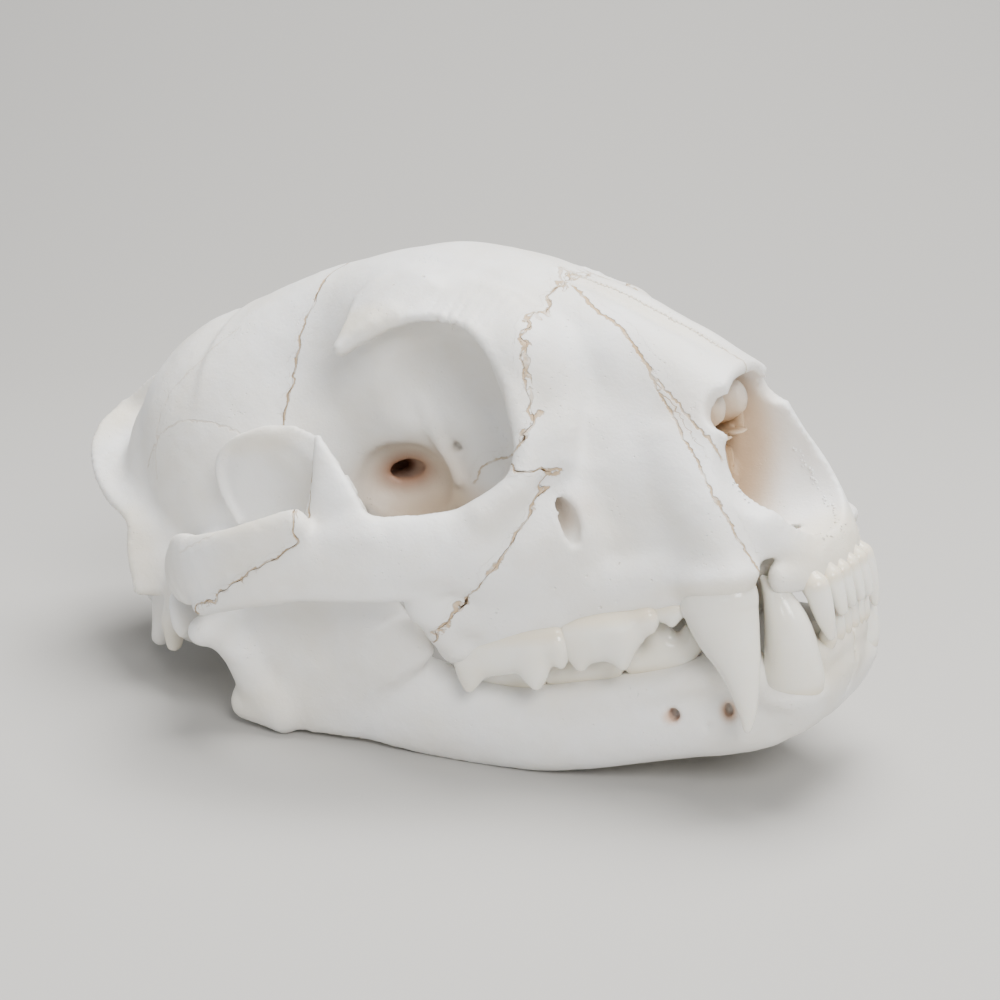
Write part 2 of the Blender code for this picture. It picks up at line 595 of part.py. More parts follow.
def bone_material(name):
    """Bleached bone for one node."""
    material = bpy.data.materials.new(name + "_bone")
    material.use_nodes = True
    shader = material.node_tree.nodes["Principled BSDF"]
    shader.inputs["Base Color"].default_value = BONE_COLOUR
    shader.inputs["Roughness"].default_value = BONE_ROUGHNESS
    shader.inputs["Metallic"].default_value = 0.0
    return material


def rest_on_floor(nodes):
    """Tilt and place the bones under one empty, the middle of their box on the origin."""
    tilt = Matrix.Rotation(-math.radians(SNOUT_TILT), 4, 'Y')
    corners = np.array([(tilt @ v.co)[:] for node in nodes for v in node.data.vertices])
    low, high = corners.min(0) * MILLIMETRE, corners.max(0) * MILLIMETRE
    skull = bpy.data.objects.new("skull_pose", None)
    bpy.context.scene.collection.objects.link(skull)
    skull.rotation_euler = (0, -math.radians(SNOUT_TILT), 0)
    skull.location = (-(low[0] + high[0]) / 2, 0, -low[2])
    for node in nodes:
        node.data.transform(Matrix.Scale(MILLIMETRE, 4))
        node.data.shade_smooth()
        node.data.materials.clear()
        node.data.materials.append(bone_material(node.name))
        node.parent = skull


def main():
    """Build every bone of the skull."""
    for item in list(bpy.data.objects):
        bpy.data.objects.remove(item)
    rest_on_floor(cranium_nodes() + jaw_nodes())
    bpy.context.view_layer.update()


if __name__ == "__main__":
    main()
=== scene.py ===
"""Looks of the cougar skull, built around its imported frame.

Each bone is shaped again, finer than in the frame, in the skull's own millimetres: x = 0 at
the front of the upper jaw and negative backwards, y to the animal's left, z = 0 at the upper
tooth row. The left half is shaped as a distance field and mirrored, then parted along wavy
sutures. Each finished piece is tilted to the resting pose and scaled to metres.
"""
import logging
import math
from dataclasses import dataclass
from enum import Enum
from typing import Callable, Sequence

import bmesh
import bpy
import numpy as np
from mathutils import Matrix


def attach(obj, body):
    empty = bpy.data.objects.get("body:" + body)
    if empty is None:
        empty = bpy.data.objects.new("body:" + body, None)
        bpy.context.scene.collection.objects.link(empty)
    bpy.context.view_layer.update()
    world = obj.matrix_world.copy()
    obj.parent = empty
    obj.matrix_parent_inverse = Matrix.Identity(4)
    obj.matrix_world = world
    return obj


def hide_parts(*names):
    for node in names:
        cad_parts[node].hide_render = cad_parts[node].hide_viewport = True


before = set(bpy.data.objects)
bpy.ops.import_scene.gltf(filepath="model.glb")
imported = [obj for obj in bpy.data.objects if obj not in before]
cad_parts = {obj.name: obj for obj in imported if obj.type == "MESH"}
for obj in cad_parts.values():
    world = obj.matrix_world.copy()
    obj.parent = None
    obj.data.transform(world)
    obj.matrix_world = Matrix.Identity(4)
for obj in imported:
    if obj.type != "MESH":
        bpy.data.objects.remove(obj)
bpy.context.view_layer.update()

import openvdb
from mathutils import Matrix, Vector
from mathutils.bvhtree import BVHTree

LOG = logging.getLogger("skull")
Row = Sequence[float]

MILLIMETRE = 0.001
FAR = 40.0
SNOUT_TILT = math.radians(13.26)
POSE_PLACE = (0.10064, 0.0, 0.05124)


class Side(Enum):
    """A side of the animal, with the sign of y there."""

    LEFT = 1
    RIGHT = -1

    @property
    def word(self) -> str:
        """The side's name as it ends a node's name."""
        return self.name.lower()


def pose() -> Matrix:
    """Matrix from the skull's own millimetres to the frame's metres."""
    turn = Matrix.Rotation(-SNOUT_TILT, 4, 'Y')
    return Matrix.Translation(POSE_PLACE) @ turn @ Matrix.Scale(MILLIMETRE, 4)


def smooth_line(points: Sequence[Row], count: int) -> np.ndarray:
    """Points on a smooth curve through the given rows, which may hold sizes too.

    Args:
        points: rows of coordinates and sizes.
        count: how many rows to return.

    Returns:
        The rows along the curve.
    """
    points = np.array(points, float)
    padded = np.vstack([2 * points[0] - points[1], points, 2 * points[-1] - points[-2]])
    result = []
    for place in np.linspace(0, len(points) - 1, count):
        index = min(int(place), len(points) - 2)
        t = place - index
        a, b, c, d = padded[index:index + 4]
        result.append(0.5 * (2 * b + (c - a) * t + (2 * a - 5 * b + 4 * c - d) * t ** 2
                             + (3 * b - a - 3 * c + d) * t ** 3))
    return np.array(result)


@dataclass(frozen=True)
class Shape:
    """A solid given by its distance, with the box that it fills."""

    distance: Callable[[np.ndarray, np.ndarray, np.ndarray], np.ndarray]
    low: np.ndarray
    high: np.ndarray


def ball(centre: Row, radii: Row) -> Shape:
    """An ellipsoid.

    Args:
        centre: its middle.
        radii: its three half sizes.

    Returns:
        The shape.
    """
    centre, radii = np.array(centre, float), np.array(radii, float)

    def distance(x: np.ndarray, y: np.ndarray, z: np.ndarray) -> np.ndarray:
        """Rough distance to the ellipsoid.

        Args:
            x: places along x.
            y: places along y.
            z: places along z.

        Returns:
            The distances, negative inside.
        """
        u, v, w = x - centre[0], y - centre[1], z - centre[2]
        near = np.sqrt((u / radii[0]) ** 2 + (v / radii[1]) ** 2 + (w / radii[2]) ** 2)
        slope = np.sqrt((u / radii[0] ** 2) ** 2 + (v / radii[1] ** 2) ** 2
                        + (w / radii[2] ** 2) ** 2)
        return near * (near - 1) / np.maximum(slope, 1e-6)

    return Shape(distance, centre - radii, centre + radii)


def strap(path: Sequence[Row], up: Row = (0, 0, 1), count: int = 0) -> Shape:
    """An ellipse swept along a path.

    Args:
        path: rows of x, y, z, half height along up, half thickness.
        up: the direction that the half heights are measured along.
        count: rows to smooth the path to, or 0 to leave it straight.

    Returns:
        The shape.
    """
    path = smooth_line(path, count) if count else np.array(path, float)
    up = np.array(up, float)
    reach = path[:, 3:5].max()

    def distance(x: np.ndarray, y: np.ndarray, z: np.ndarray) -> np.ndarray:
        """Rough distance to the nearest stretch of the path.

        Args:
            x: places along x.
            y: places along y.
            z: places along z.

        Returns:
            The distances, negative inside.
        """
        best = None
        for start, end in zip(path[:-1], path[1:]):
            run = end[:3] - start[:3]
            length = np.linalg.norm(run)
            along = run / length
            rise = up - along * (up @ along)
            rise = rise / np.linalg.norm(rise)
            side = np.cross(along, rise)
            u, v, w = x - start[0], y - start[1], z - start[2]
            place = u * along[0] + v * along[1] + w * along[2]
            t = np.clip(place / length, 0, 1)
            high = start[3] + (end[3] - start[3]) * t
            thick = start[4] + (end[4] - start[4]) * t
            over = place - t * length
            lift = u * rise[0] + v * rise[1] + w * rise[2]
            out = u * side[0] + v * side[1] + w * side[2]
            small = np.minimum(high, thick)
            near = np.sqrt((lift / high) ** 2 + (out / thick) ** 2 + (over / small) ** 2)
            slope = np.sqrt((lift / high ** 2) ** 2 + (out / thick ** 2) ** 2
                            + (over / small ** 2) ** 2)
            piece = near * (near - 1) / np.maximum(slope, 1e-6)
            best = piece if best is None else np.minimum(best, piece)
        return best

    return Shape(distance, path[:, :3].min(0) - reach, path[:, :3].max(0) + reach)


def loft(stations: Sequence[Row]) -> Shape:
    """A body along x.

    Args:
        stations: rows of x, half width, widest level, top, bottom, power of the section.

    Returns:
        The shape.
    """
    stations = np.array(sorted(stations), float)
    dense = smooth_line(stations, 12 * len(stations))
    low, high = stations[0, 0], stations[-1, 0]

    def distance(x: np.ndarray, y: np.ndarray, z: np.ndarray) -> np.ndarray:
        """Rough distance to the body.

        Args:
            x: places along x.
            y: places along y.
            z: places along z.

        Returns:
            The distances, negative inside.
        """
        half, middle, top, bottom, power = (np.interp(x, dense[:, 0], dense[:, k])
                                            for k in range(1, 6))
        tall = np.where(z > middle, top - middle, middle - bottom)
        u, v = np.abs(y) / half, np.abs(z - middle) / tall
        near = np.maximum((u ** power + v ** power) ** (1 / power), 1e-4)
        slope = near ** (1 - power) * np.sqrt((u ** (power - 1) / half) ** 2
                                              + (v ** (power - 1) / tall) ** 2)
        inside = (near - 1) / np.maximum(slope, 1e-4)
        ends = np.abs(x - (low + high) / 2) - (high - low) / 2
        corner = np.sqrt(np.maximum(inside, 0) ** 2 + np.maximum(ends, 0) ** 2)
        return np.where((inside > 0) & (ends > 0), corner, np.maximum(inside, ends))

    wide = stations[:, 1].max()
    return Shape(distance, np.array([low, -wide, stations[:, 4].min()]),
                 np.array([high, wide, stations[:, 3].max()]))


def web(outer: Sequence[Row], inner: Sequence[Row], outer_radius: float, inner_radius: float,
        count: int) -> Shape:
    """A thin sheet of bone between two lines.

    Args:
        outer: points of the free edge.
        inner: points of the edge that it grows from.
        outer_radius: half thickness at the free edge.
        inner_radius: half thickness at the root.
        count: how many spokes fill the sheet.

    Returns:
        The shape.
    """
    outer, inner = smooth_line(outer, count), smooth_line(inner, count)
    spokes = [strap([(*a, outer_radius, outer_radius), (*b, inner_radius, inner_radius)],
                    up=(0.3, 0.2, 0.9)) for a, b in zip(outer, inner)]
    ends = np.vstack([outer, inner])

    def distance(x: np.ndarray, y: np.ndarray, z: np.ndarray) -> np.ndarray:
        """Rough distance to the nearest spoke.

        Args:
            x: places along x.
            y: places along y.
            z: places along z.

        Returns:
            The distances, negative inside.
        """
        best = spokes[0].distance(x, y, z)
        for spoke in spokes[1:]:
            best = np.minimum(best, spoke.distance(x, y, z))
        return best

    reach = max(outer_radius, inner_radius)
    return Shape(distance, ends.min(0) - reach, ends.max(0) + reach)


def lattice_noise(shape: Sequence[int], spacing: float, seed: int) -> np.ndarray:
    """Smooth random values from -1 to 1 on a grid.

    Args:
        shape: cells of the grid along each axis.
        spacing: cells between the random values that are blended.
        seed: seed of the random draw.

    Returns:
        An array of the given shape.
    """
    draw = np.random.default_rng(seed)
    values = draw.uniform(-1, 1, [int(n / spacing) + 3 for n in shape]).astype(np.float32)
    for axis, count in enumerate(shape):
        place = np.arange(count) / spacing
        index = place.astype(int)
        t = (place - index).astype(np.float32)
        t = (t * t * (3 - 2 * t)).reshape([-1 if k == axis else 1 for k in range(3)])
        values = (np.take(values, index, axis) * (1 - t) + np.take(values, index + 1, axis) * t)
    return values


class Volume:
    """A distance field on a grid, built up by soft unions and cuts."""

    def __init__(self, low: Row, high: Row, step: float) -> None:
        """Start an empty field.

        Args:
            low: the least x, y and z.
            high: the greatest x, y and z.
            step: distance between the grid's points.
        """
        self.low, self.step = np.array(low, float), step
        self.axes = [np.arange(a, b + step, step) for a, b in zip(low, high)]
        self.values = np.full([len(axis) for axis in self.axes], FAR, np.float32)

    def grid(self) -> list[np.ndarray]:
        """The three axes, shaped so that a formula of them fills the grid."""
        return [axis.reshape([-1 if k == j else 1 for k in range(3)])
                for j, axis in enumerate(self.axes)]

    def window(self, shape: Shape, margin: float) -> tuple[tuple[slice, ...], np.ndarray]:
        """Find the part of the grid near a shape.

        Args:
            shape: the shape.
            margin: how far round its box the part reaches.

        Returns:
            The slices of that part, and the shape's distance there.
        """
        picks = []
        for axis, a, b in zip(self.axes, shape.low - margin, shape.high + margin):
            picks.append(slice(*np.searchsorted(axis, (a, b))))
        x, y, z = (axis[pick] for axis, pick in zip(self.axes, picks))
        values = shape.distance(x[:, None, None], y[None, :, None], z[None, None, :])
        return tuple(picks), values.astype(np.float32)

    def add(self, shape: Shape, blend: float = 3.0) -> None:
        """Soft union with a shape.

        Args:
            shape: the shape to add.
            blend: how far the two flow into each other.
        """
        picks, values = self.window(shape, 3 * blend + 2 * self.step)
        here = self.values[picks]
        mix = np.clip(0.5 + 0.5 * (here - values) / blend, 0, 1)
        self.values[picks] = here * (1 - mix) + values * mix - blend * mix * (1 - mix)

    def cut(self, shape: Shape, blend: float = 2.0) -> None:
        """Soft difference with a shape.

        Args:
            shape: the shape to take away.
            blend: how far the new edge is rounded.
        """
        picks, values = self.window(shape, 3 * blend + 2 * self.step)
        here = self.values[picks]
        mix = np.clip(0.5 - 0.5 * (here + values) / blend, 0, 1)
        self.values[picks] = here * (1 - mix) - values * mix + blend * mix * (1 - mix)

    def keep_above(self, level: np.ndarray) -> None:
        """Sharp cut that keeps only where level, an array on the grid, is positive."""
        self.values = np.maximum(self.values, -level.astype(np.float32))

    def roughen(self, height: float, length: float, seed: int) -> None:
        """Raise and lower the surface by smooth noise.

        Args:
            height: largest rise, in millimetres.
            length: distance between rises.
            seed: seed of the random draw.
        """
        self.values += height * lattice_noise(self.values.shape, length / self.step, seed)

    def mirrored(self) -> "Volume":
        """Copy the left half to the right.

        Returns:
            A new field with both halves.
        """
        whole = Volume.__new__(Volume)
        whole.values = np.concatenate([self.values[:, :0:-1, :], self.values], axis=1)
        whole.low = self.low.copy()
        whole.low[1] = -self.axes[1][-1]
        whole.step = self.step
        whole.axes = [np.arange(n) * self.step + a for n, a in zip(whole.values.shape, whole.low)]
        return whole

    def mesh(self, name: str) -> bpy.types.Mesh:
        """Take the surface out of the field.

        Args:
            name: the mesh's name.

        Returns:
            A closed mesh of the zero level, facing out.
        """
        grid = openvdb.FloatGrid(FAR)
        grid.copyFromArray(np.ascontiguousarray(self.values))
        points, triangles, quads = grid.convertToPolygons(0.0, 0.0)
        points = np.asarray(points, float) * self.step + self.low
        quads = np.asarray(quads, int).reshape(-1, 4)
        faces = np.vstack([np.asarray(triangles, int).reshape(-1, 3), quads[:, :3],
                           quads[:, [0, 2, 3]]])
        a, b, c = (points[faces[:, k]] for k in range(3))
        if np.einsum('ij,ij->i', a, np.cross(b, c)).sum() < 0:
            faces = faces[:, ::-1]
        return mesh_from(name, points, faces)


def mesh_from(name: str, points: np.ndarray, faces: np.ndarray) -> bpy.types.Mesh:
    """A mesh from arrays of points and triangles.

    Args:
        name: the mesh's name.
        points: one row of x, y, z for each vertex.
        faces: one row of three vertex numbers for each triangle.

    Returns:
        The new mesh.
    """
    mesh = bpy.data.meshes.new(name)
    count = len(faces)
    mesh.vertices.add(len(points))
    mesh.vertices.foreach_set("co", np.asarray(points, np.float32).ravel())
    mesh.loops.add(3 * count)
    mesh.loops.foreach_set("vertex_index", np.asarray(faces, np.int32).ravel())
    mesh.polygons.add(count)
    mesh.polygons.foreach_set("loop_start", np.arange(0, 3 * count, 3, dtype=np.int32))
    mesh.update(calc_edges=True)
    mesh.validate()
    return mesh


def points_of(mesh: bpy.types.Mesh) -> np.ndarray:
    """Read the vertices of a mesh.

    Args:
        mesh: the mesh.

    Returns:
        One row of x, y, z for each vertex.
    """
    points = np.zeros(3 * len(mesh.vertices), np.float32)
    mesh.vertices.foreach_get("co", points)
    return points.reshape(-1, 3).astype(float)


def surface_tree(mesh: bpy.types.Mesh) -> BVHTree:
    """Search tree of a mesh's faces."""
    return BVHTree.FromPolygons(points_of(mesh).tolist(),
                                [tuple(face.vertices) for face in mesh.polygons])


def plain_object(name: str, mesh: bpy.types.Mesh) -> bpy.types.Object:
    """Put a mesh in the scene as an object.

    Args:
        name: the object's name.
        mesh: its mesh.

    Returns:
        The object.
    """
    item = bpy.data.objects.new(name, mesh)
    bpy.context.scene.collection.objects.link(item)
    return item


def remove_object(item: bpy.types.Object) -> None:
    """Take an object and its mesh out of the file.

    Args:
        item: the object.
    """
    mesh = item.data
    bpy.data.objects.remove(item)
    bpy.data.meshes.remove(mesh)


def settle(item: bpy.types.Object) -> None:
    """Replace an object's mesh by the result of its modifiers.

    Args:
        item: the object, which loses its modifiers.
    """
    graph = bpy.context.evaluated_depsgraph_get()
    mesh = bpy.data.meshes.new_from_object(item.evaluated_get(graph))
    old = item.data
    item.modifiers.clear()
    item.data = mesh
    bpy.data.meshes.remove(old)


def soften(item: bpy.types.Object, times: int) -> None:
    """Smooth away the marks of the grid.

    Args:
        item: the object to smooth.
        times: how many rounds of smoothing it gets.
    """
    change = item.modifiers.new("soften", 'SMOOTH')
    change.factor = 0.5
    change.iterations = times
    settle(item)


def boolean(item: bpy.types.Object, operation: str, other: bpy.types.Object) -> None:
    """Apply one Boolean with another closed object, which is then removed.

    Args:
        item: the object to change.
        operation: INTERSECT, DIFFERENCE or UNION.
        other: the object to use up.
    """
    change = item.modifiers.new("boolean", 'BOOLEAN')
    change.operation = operation
    change.solver = 'MANIFOLD'
    change.object = other
    settle(item)
    remove_object(other)


def keep_largest(item: bpy.types.Object) -> None:
    """Drop every loose shell but the one with the most vertices.

    Args:
        item: the object to clean.
    """
    mesh = item.data
    edges = np.zeros(2 * len(mesh.edges), np.int32)
    mesh.edges.foreach_get("vertices", edges)
    edges = edges.reshape(-1, 2)
    label = np.arange(len(mesh.vertices))
    while True:
        low = np.minimum(label[edges[:, 0]], label[edges[:, 1]])
        new = label.copy()
        np.minimum.at(new, edges[:, 0], low)
        np.minimum.at(new, edges[:, 1], low)
        new = new[new]
        if (new == label).all():
            break
        label = new
    values, counts = np.unique(label, return_counts=True)
    if len(values) == 1:
        return
    keep = values[counts.argmax()]
    body = bmesh.new()
    body.from_mesh(mesh)
    body.verts.ensure_lookup_table()
    loose = [body.verts[i] for i in np.flatnonzero(label != keep)]
    bmesh.ops.delete(body, geom=loose, context='VERTS')
    body.to_mesh(mesh)
    body.free()


@dataclass
class Cranium:
    """The skull without its lower jaw, as a field of its left half; sizes in millimetres."""

    length: float = 198.0
    arch_half_width: float = 60.0
    braincase_half_width: float = 34.5
    top: float = 80.5
    orbit_half_height: float = 20.5
    snout_half_width: float = 25.5
    inset: float = 0.3
    step: float = 0.85

    def field(self) -> Volume:
        """Shape the left half.

        Returns:
            The field, from the middle plane out to the left cheek.
        """
        bone = Volume((-212, 0, -20), (10, 70, 90), self.step)
        for build in (self.add_braincase, self.add_roof_and_snout, self.carve_face,
                      self.add_cheek, self.add_skull_base, self.add_crests,
                      self.add_fine_forms, self.cut_holes, self.add_nose_scrolls):
            build(bone)
        bone.roughen(0.22, 6.5, 3)
        bone.roughen(0.07, 2.4, 4)
        return bone

    def whole(self) -> Volume:
        """Both halves, with what differs between the sides of this animal.

        Returns:
            The field of the whole skull.
        """
        bone = self.field().mirrored()
        bone.cut(ball((-5.5, -19, 30), (13, 8.6, 16)), 1)
        bone.add(ball((-18.6, 24.4, 4.6), (9.4, 6.8, 4.4)), 2)
        bone.values += self.inset
        return bone

    def add_braincase(self, bone: Volume) -> None:
        """Brain room, temple wall and the narrow wall between the orbits.

        Args:
            bone: the field to work on.
        """
        bone.add(ball((-145, 0, 41), (38, self.braincase_half_width, 32.8)), 4)
        bone.add(ball((-142, 22, 30), (25, 12, 20)), 6)
        bone.add(ball((-172, 0, 33), (15, 27, 24)), 6)
        bone.add(loft([(-186, 13, 16, 30, 5, 2.2), (-178, 19, 18, 45, 5, 2.2),
                       (-165, 25, 22, 50, 5, 2.2), (-150, 27, 25, 50, 6, 2.2),
                       (-135, 25, 28, 60, 8, 2.2), (-122, 19, 32, 66, 9, 2.2),
                       (-112, 15, 34, 66, 8, 2.2), (-102, 13, 32, 66, 6, 2.2),
                       (-92, 12.5, 30, 64, 4, 2.2), (-82, 13, 28, 62, 3.5, 2.2),
                       (-72, 15, 26, 60, 3, 2.2), (-62, 24, 24, 50, 2, 2.2)]), 4)

    def add_roof_and_snout(self, bone: Volume) -> None:
        """Forehead, nasal roof and the two upper jaw bones.

        Args:
            bone: the field to work on.
        """
        top = self.top
        bone.add(loft([(-142, 30, 50, top - 5.6, 20, 2.0), (-130, 27, 52, top - 2.9, 20, 2.0),
                       (-120, 22.5, 54, top - 1.2, 22, 2.1), (-112, 20.5, 56, top - 0.7, 22, 2.2),
                       (-103, 21.5, 60, top - 0.2, 26, 2.2), (-95, 22, 62, top, 30, 2.2),
                       (-86, 20, 62, top - 0.5, 34, 2.3), (-77, 18.8, 60, top - 2.5, 34, 2.4),
                       (-68, 19, 57, top - 5.3, 30, 2.4), (-60, 19.5, 54, top - 9, 26, 2.4),
                       (-52, 18.8, 50, top - 13.2, 22, 2.3), (-44, 17.5, 47, top - 17.3, 20, 2.3),
                       (-36, 16.4, 41, top - 22.6, 18, 2.3), (-28, 16, 36, top - 28, 16, 2.3),
                       (-22, 16.2, 32, top - 32.6, 16, 2.2),
                       (-17.4, 16.4, 29, top - 36.2, 16, 2.2)]), 4)
        wide = self.snout_half_width
        bone.add(loft([(-3.4, 9, 3, 5.5, -0.6, 2.6), (-5.4, 14, 5, 10.5, -0.7, 2.5),
                       (-8.6, 18, 7.5, 21, -0.6, 2.3), (-13, 21.8, 9, 30, -0.5, 2.2),
                       (-19, wide - 0.5, 10, 38, -0.5, 2.2), (-26, wide, 11, 44, 0, 2.1),
                       (-34, wide + 0.5, 13, 48, 0.5, 2.1), (-42, wide + 2.5, 15, 50, 0.5, 2.2),
                       (-50, wide + 6, 17, 50, 0, 2.4), (-58, wide + 8.5, 16, 46, -0.5, 2.6),
                       (-66, wide + 9.5, 10, 34, -3.5, 2.6), (-74, wide + 9.5, 8, 26, -6, 2.6),
                       (-80, wide + 7.5, 6, 22, -6, 2.4), (-85, wide, 6, 20, -2, 2.2)]), 5)
        bone.add(ball((-58, 21, 48), (12, 11, 16)), 5)
        bone.add(strap([(-26, 24, 5, 6, 3.4), (-42, 27.5, 4, 6.6, 3.6), (-56, 30.5, 2.5, 7.6, 4.2),
                        (-70, 34, 0.5, 8.4, 4.4), (-80, 37, 0.5, 8.5, 3.8)], count=8), 3)
        bone.add(strap([(-18, 22.5, 4, 6.5, 5.5), (-23, 21, 18, 6, 5), (-30, 17, 32, 4, 3.5)],
                       up=(1, 0, 0)), 4)
        bone.add(ball((-21, 23.2, 4.6), (9.6, 6.8, 4.4)), 2.5)

    def carve_face(self, bone: Volume) -> None:
        """Orbits, nose opening, palate, and the hollow in front of the orbit.

        Args:
            bone: the field to work on.
        """
        bone.cut(ball((-78, 33.5, 45.5), (24, 21.5, self.orbit_half_height)), 2)
        bone.cut(ball((-45, 0, -9), (42, 22, 13)), 3)
        bone.cut(ball((-106, 0, 3), (24, 8, 11)), 2)
        bone.cut(loft([(8, 14, 20, 42, 12, 2.2), (-4, 15, 20, 42, 7.5, 2.2),
                       (-12, 15, 21, 40.8, 7.5, 2.2), (-19, 14.8, 23, 42, 8.5, 2.2),
                       (-27, 13.4, 25, 45.4, 10, 2.2), (-38, 11.5, 28, 48, 12, 2.2),
                       (-52, 9, 30, 46, 14, 2.2), (-66, 5, 32, 40, 22, 2.2)]), 1.0)
        bone.cut(ball((-17.4, 13.6, 37.4), (3.6, 4.2, 4.4)), 0.8)
        bone.cut(ball((-13.6, 7, 42), (2.4, 4, 6)), 0.8)
        bone.cut(ball((-36, 38, 23), (13, 11, 15)), 4)

    def add_cheek(self, bone: Volume) -> None:
        """Orbit rim, cheekbone and the bridge of bone back to the temple.

        Args:
            bone: the field to work on.
        """
        arch = self.arch_half_width
        bone.add(strap([(-66, 20.5, 63.5, 2.4, 2.4), (-59.5, 26.5, 53, 2.6, 2.6),
                        (-55, 30.5, 44, 2.8, 2.8), (-53.5, 33, 36, 3.2, 3.2),
                        (-55, 36, 29.5, 3.6, 3.6), (-62, 40, 25, 4, 4)], count=12), 3)
        bone.add(strap([(-86, 16, 71, 5, 11), (-91, 25, 67.2, 3.6, 8.5),
                        (-96.5, 32.5, 62.5, 1.6, 2.6)], count=6), 4)
        bone.add(strap([(-50, 27, 17, 11, 7), (-59, 34, 16, 11, 7), (-67, 41, 17, 9.5, 5)]), 4)
        bone.add(strap([(-62, 32, 8, 8, 6), (-71, 38, 8, 9, 5), (-78, 45, 12, 8, 3.6)]), 4)
        bone.add(strap([(-77.5, 46, 9, 3.5, 3), (-78, 42, 1, 3.6, 3.2), (-77.5, 39, -4, 3, 2.8)],
                       up=(1, 0, 0)), 3)
        bone.cut(ball((-11.4, 17.4, -0.6), (6, 5.4, 6.8)), 1.5)
        bone.add(strap([(-66, 41, 18.5, 8.5, 4.5), (-74, 47, 18.5, 9, 4.2),
                        (-82, 51.5, 19.5, 9.5, 4), (-90, 55, 20, 8.8, 3.8),
                        (-99, 58, 19.5, 7, 3.6), (-109, arch, 17.5, 4.8, 3.4),
                        (-119, arch + 0.3, 15.5, 3.6, 3), (-128, 58.8, 13.5, 2.4, 2.6)],
                       count=15), 2)
        bone.add(strap([(-91.5, 53.2, 25, 11, 3.2), (-91.8, 51.4, 34, 6.4, 2.5),
                        (-93.4, 49.6, 41, 3.2, 1.9), (-94.3, 48.8, 46, 1.2, 1.2)],
                       up=(1, 0, 0), count=9), 3)
        bone.add(strap([(-137.5, 50, 19, 8, 4.2), (-134.5, 55, 21, 8.4, 3.6), (-127, 58.5, 21.8, 8, 3.2),
                        (-117, arch, 25, 5.6, 3), (-107, arch, 27.5, 4.4, 3),
                        (-97, 58, 29.5, 3.8, 2.8)], count=12), 2)

    def add_skull_base(self, bone: Volume) -> None:
        """Joint sockets, ear bullae, wing plates, and the bony tips behind the ear.

        Args:
            bone: the field to work on.
        """
        bone.add(strap([(-144, 26, 20, 6, 10), (-142.5, 38, 18.5, 6, 8.5), (-137.5, 50, 19.5, 7.5, 6)]), 4)
        bone.cut(strap([(-140.5, 30, 5.5, 6.4, 6.4), (-138.5, 62, 5.8, 6.4, 6.4)]), 2)
        bone.add(strap([(-148.5, 32, 8, 7, 2.4), (-148, 47, 8.5, 6, 2.2)]), 2)
        bone.add(strap([(-84, 11, 8, 8, 2), (-98, 10.5, 7, 7.5, 1.7), (-110, 10.5, 6.5, 6.5, 1.6),
                        (-119, 9.5, 4, 3.6, 1.6)]), 2)
        bone.add(ball((-163, 20.5, 5), (15, 10, 12)), 2)
        bone.add(ball((-154, 30, 10), (8, 8, 7)), 4)
        bone.cut(ball((-153, 40, 10.5), (4.5, 10, 4)), 1)
        bone.add(strap([(-156, 33, 14, 5, 5), (-160.5, 36.5, 4, 3.4, 3.4),
                        (-161, 37.5, -1, 2.2, 2.2)]), 3)
        bone.add(strap([(-171, 23, 10, 5.5, 5), (-176, 27, -2, 2.6, 2.6)]), 3)
        bone.add(ball((-184.5, 11, 9), (7, 7.5, 9)), 3)
        bone.cut(ball((-192, 0, 14), (17, 8, 7.5)), 2)

    def add_crests(self, bone: Volume) -> None:
        """Crest along the top and the winged crest around the back of the skull.

        Args:
            bone: the field to work on.
        """
        bone.add(strap([(-150, 0, 65.8, 7.2, 3), (-160, 0, 62.2, 7.4, 2.6),
                        (-170, 0, 58.5, 7.3, 2.4), (-180, 0, 54.6, 7.4, 2.3),
                        (-190, 0, 50.2, 7.4, 2.3), (-196, 0, 47.6, 6, 2.3)], count=12), 3)
        back = -self.length
        rim = [(back + 1, 0, 53), (back + 1, 8, 50.5), (back + 4, 16, 46), (back + 11, 24, 39.5),
               (back + 20, 30, 34.5), (-169.5, 33.5, 29), (-169.5, 35.5, 22), (-168.5, 37, 13)]
        root = [(-180, 0, 47), (-178, 7, 45), (-175, 13, 41), (-170, 19, 36),
                (-164, 24, 31), (-160, 27, 25), (-158, 28, 18), (-157, 29, 11)]
        bone.add(web(rim, root, 1.9, 3.4, 40), 3)

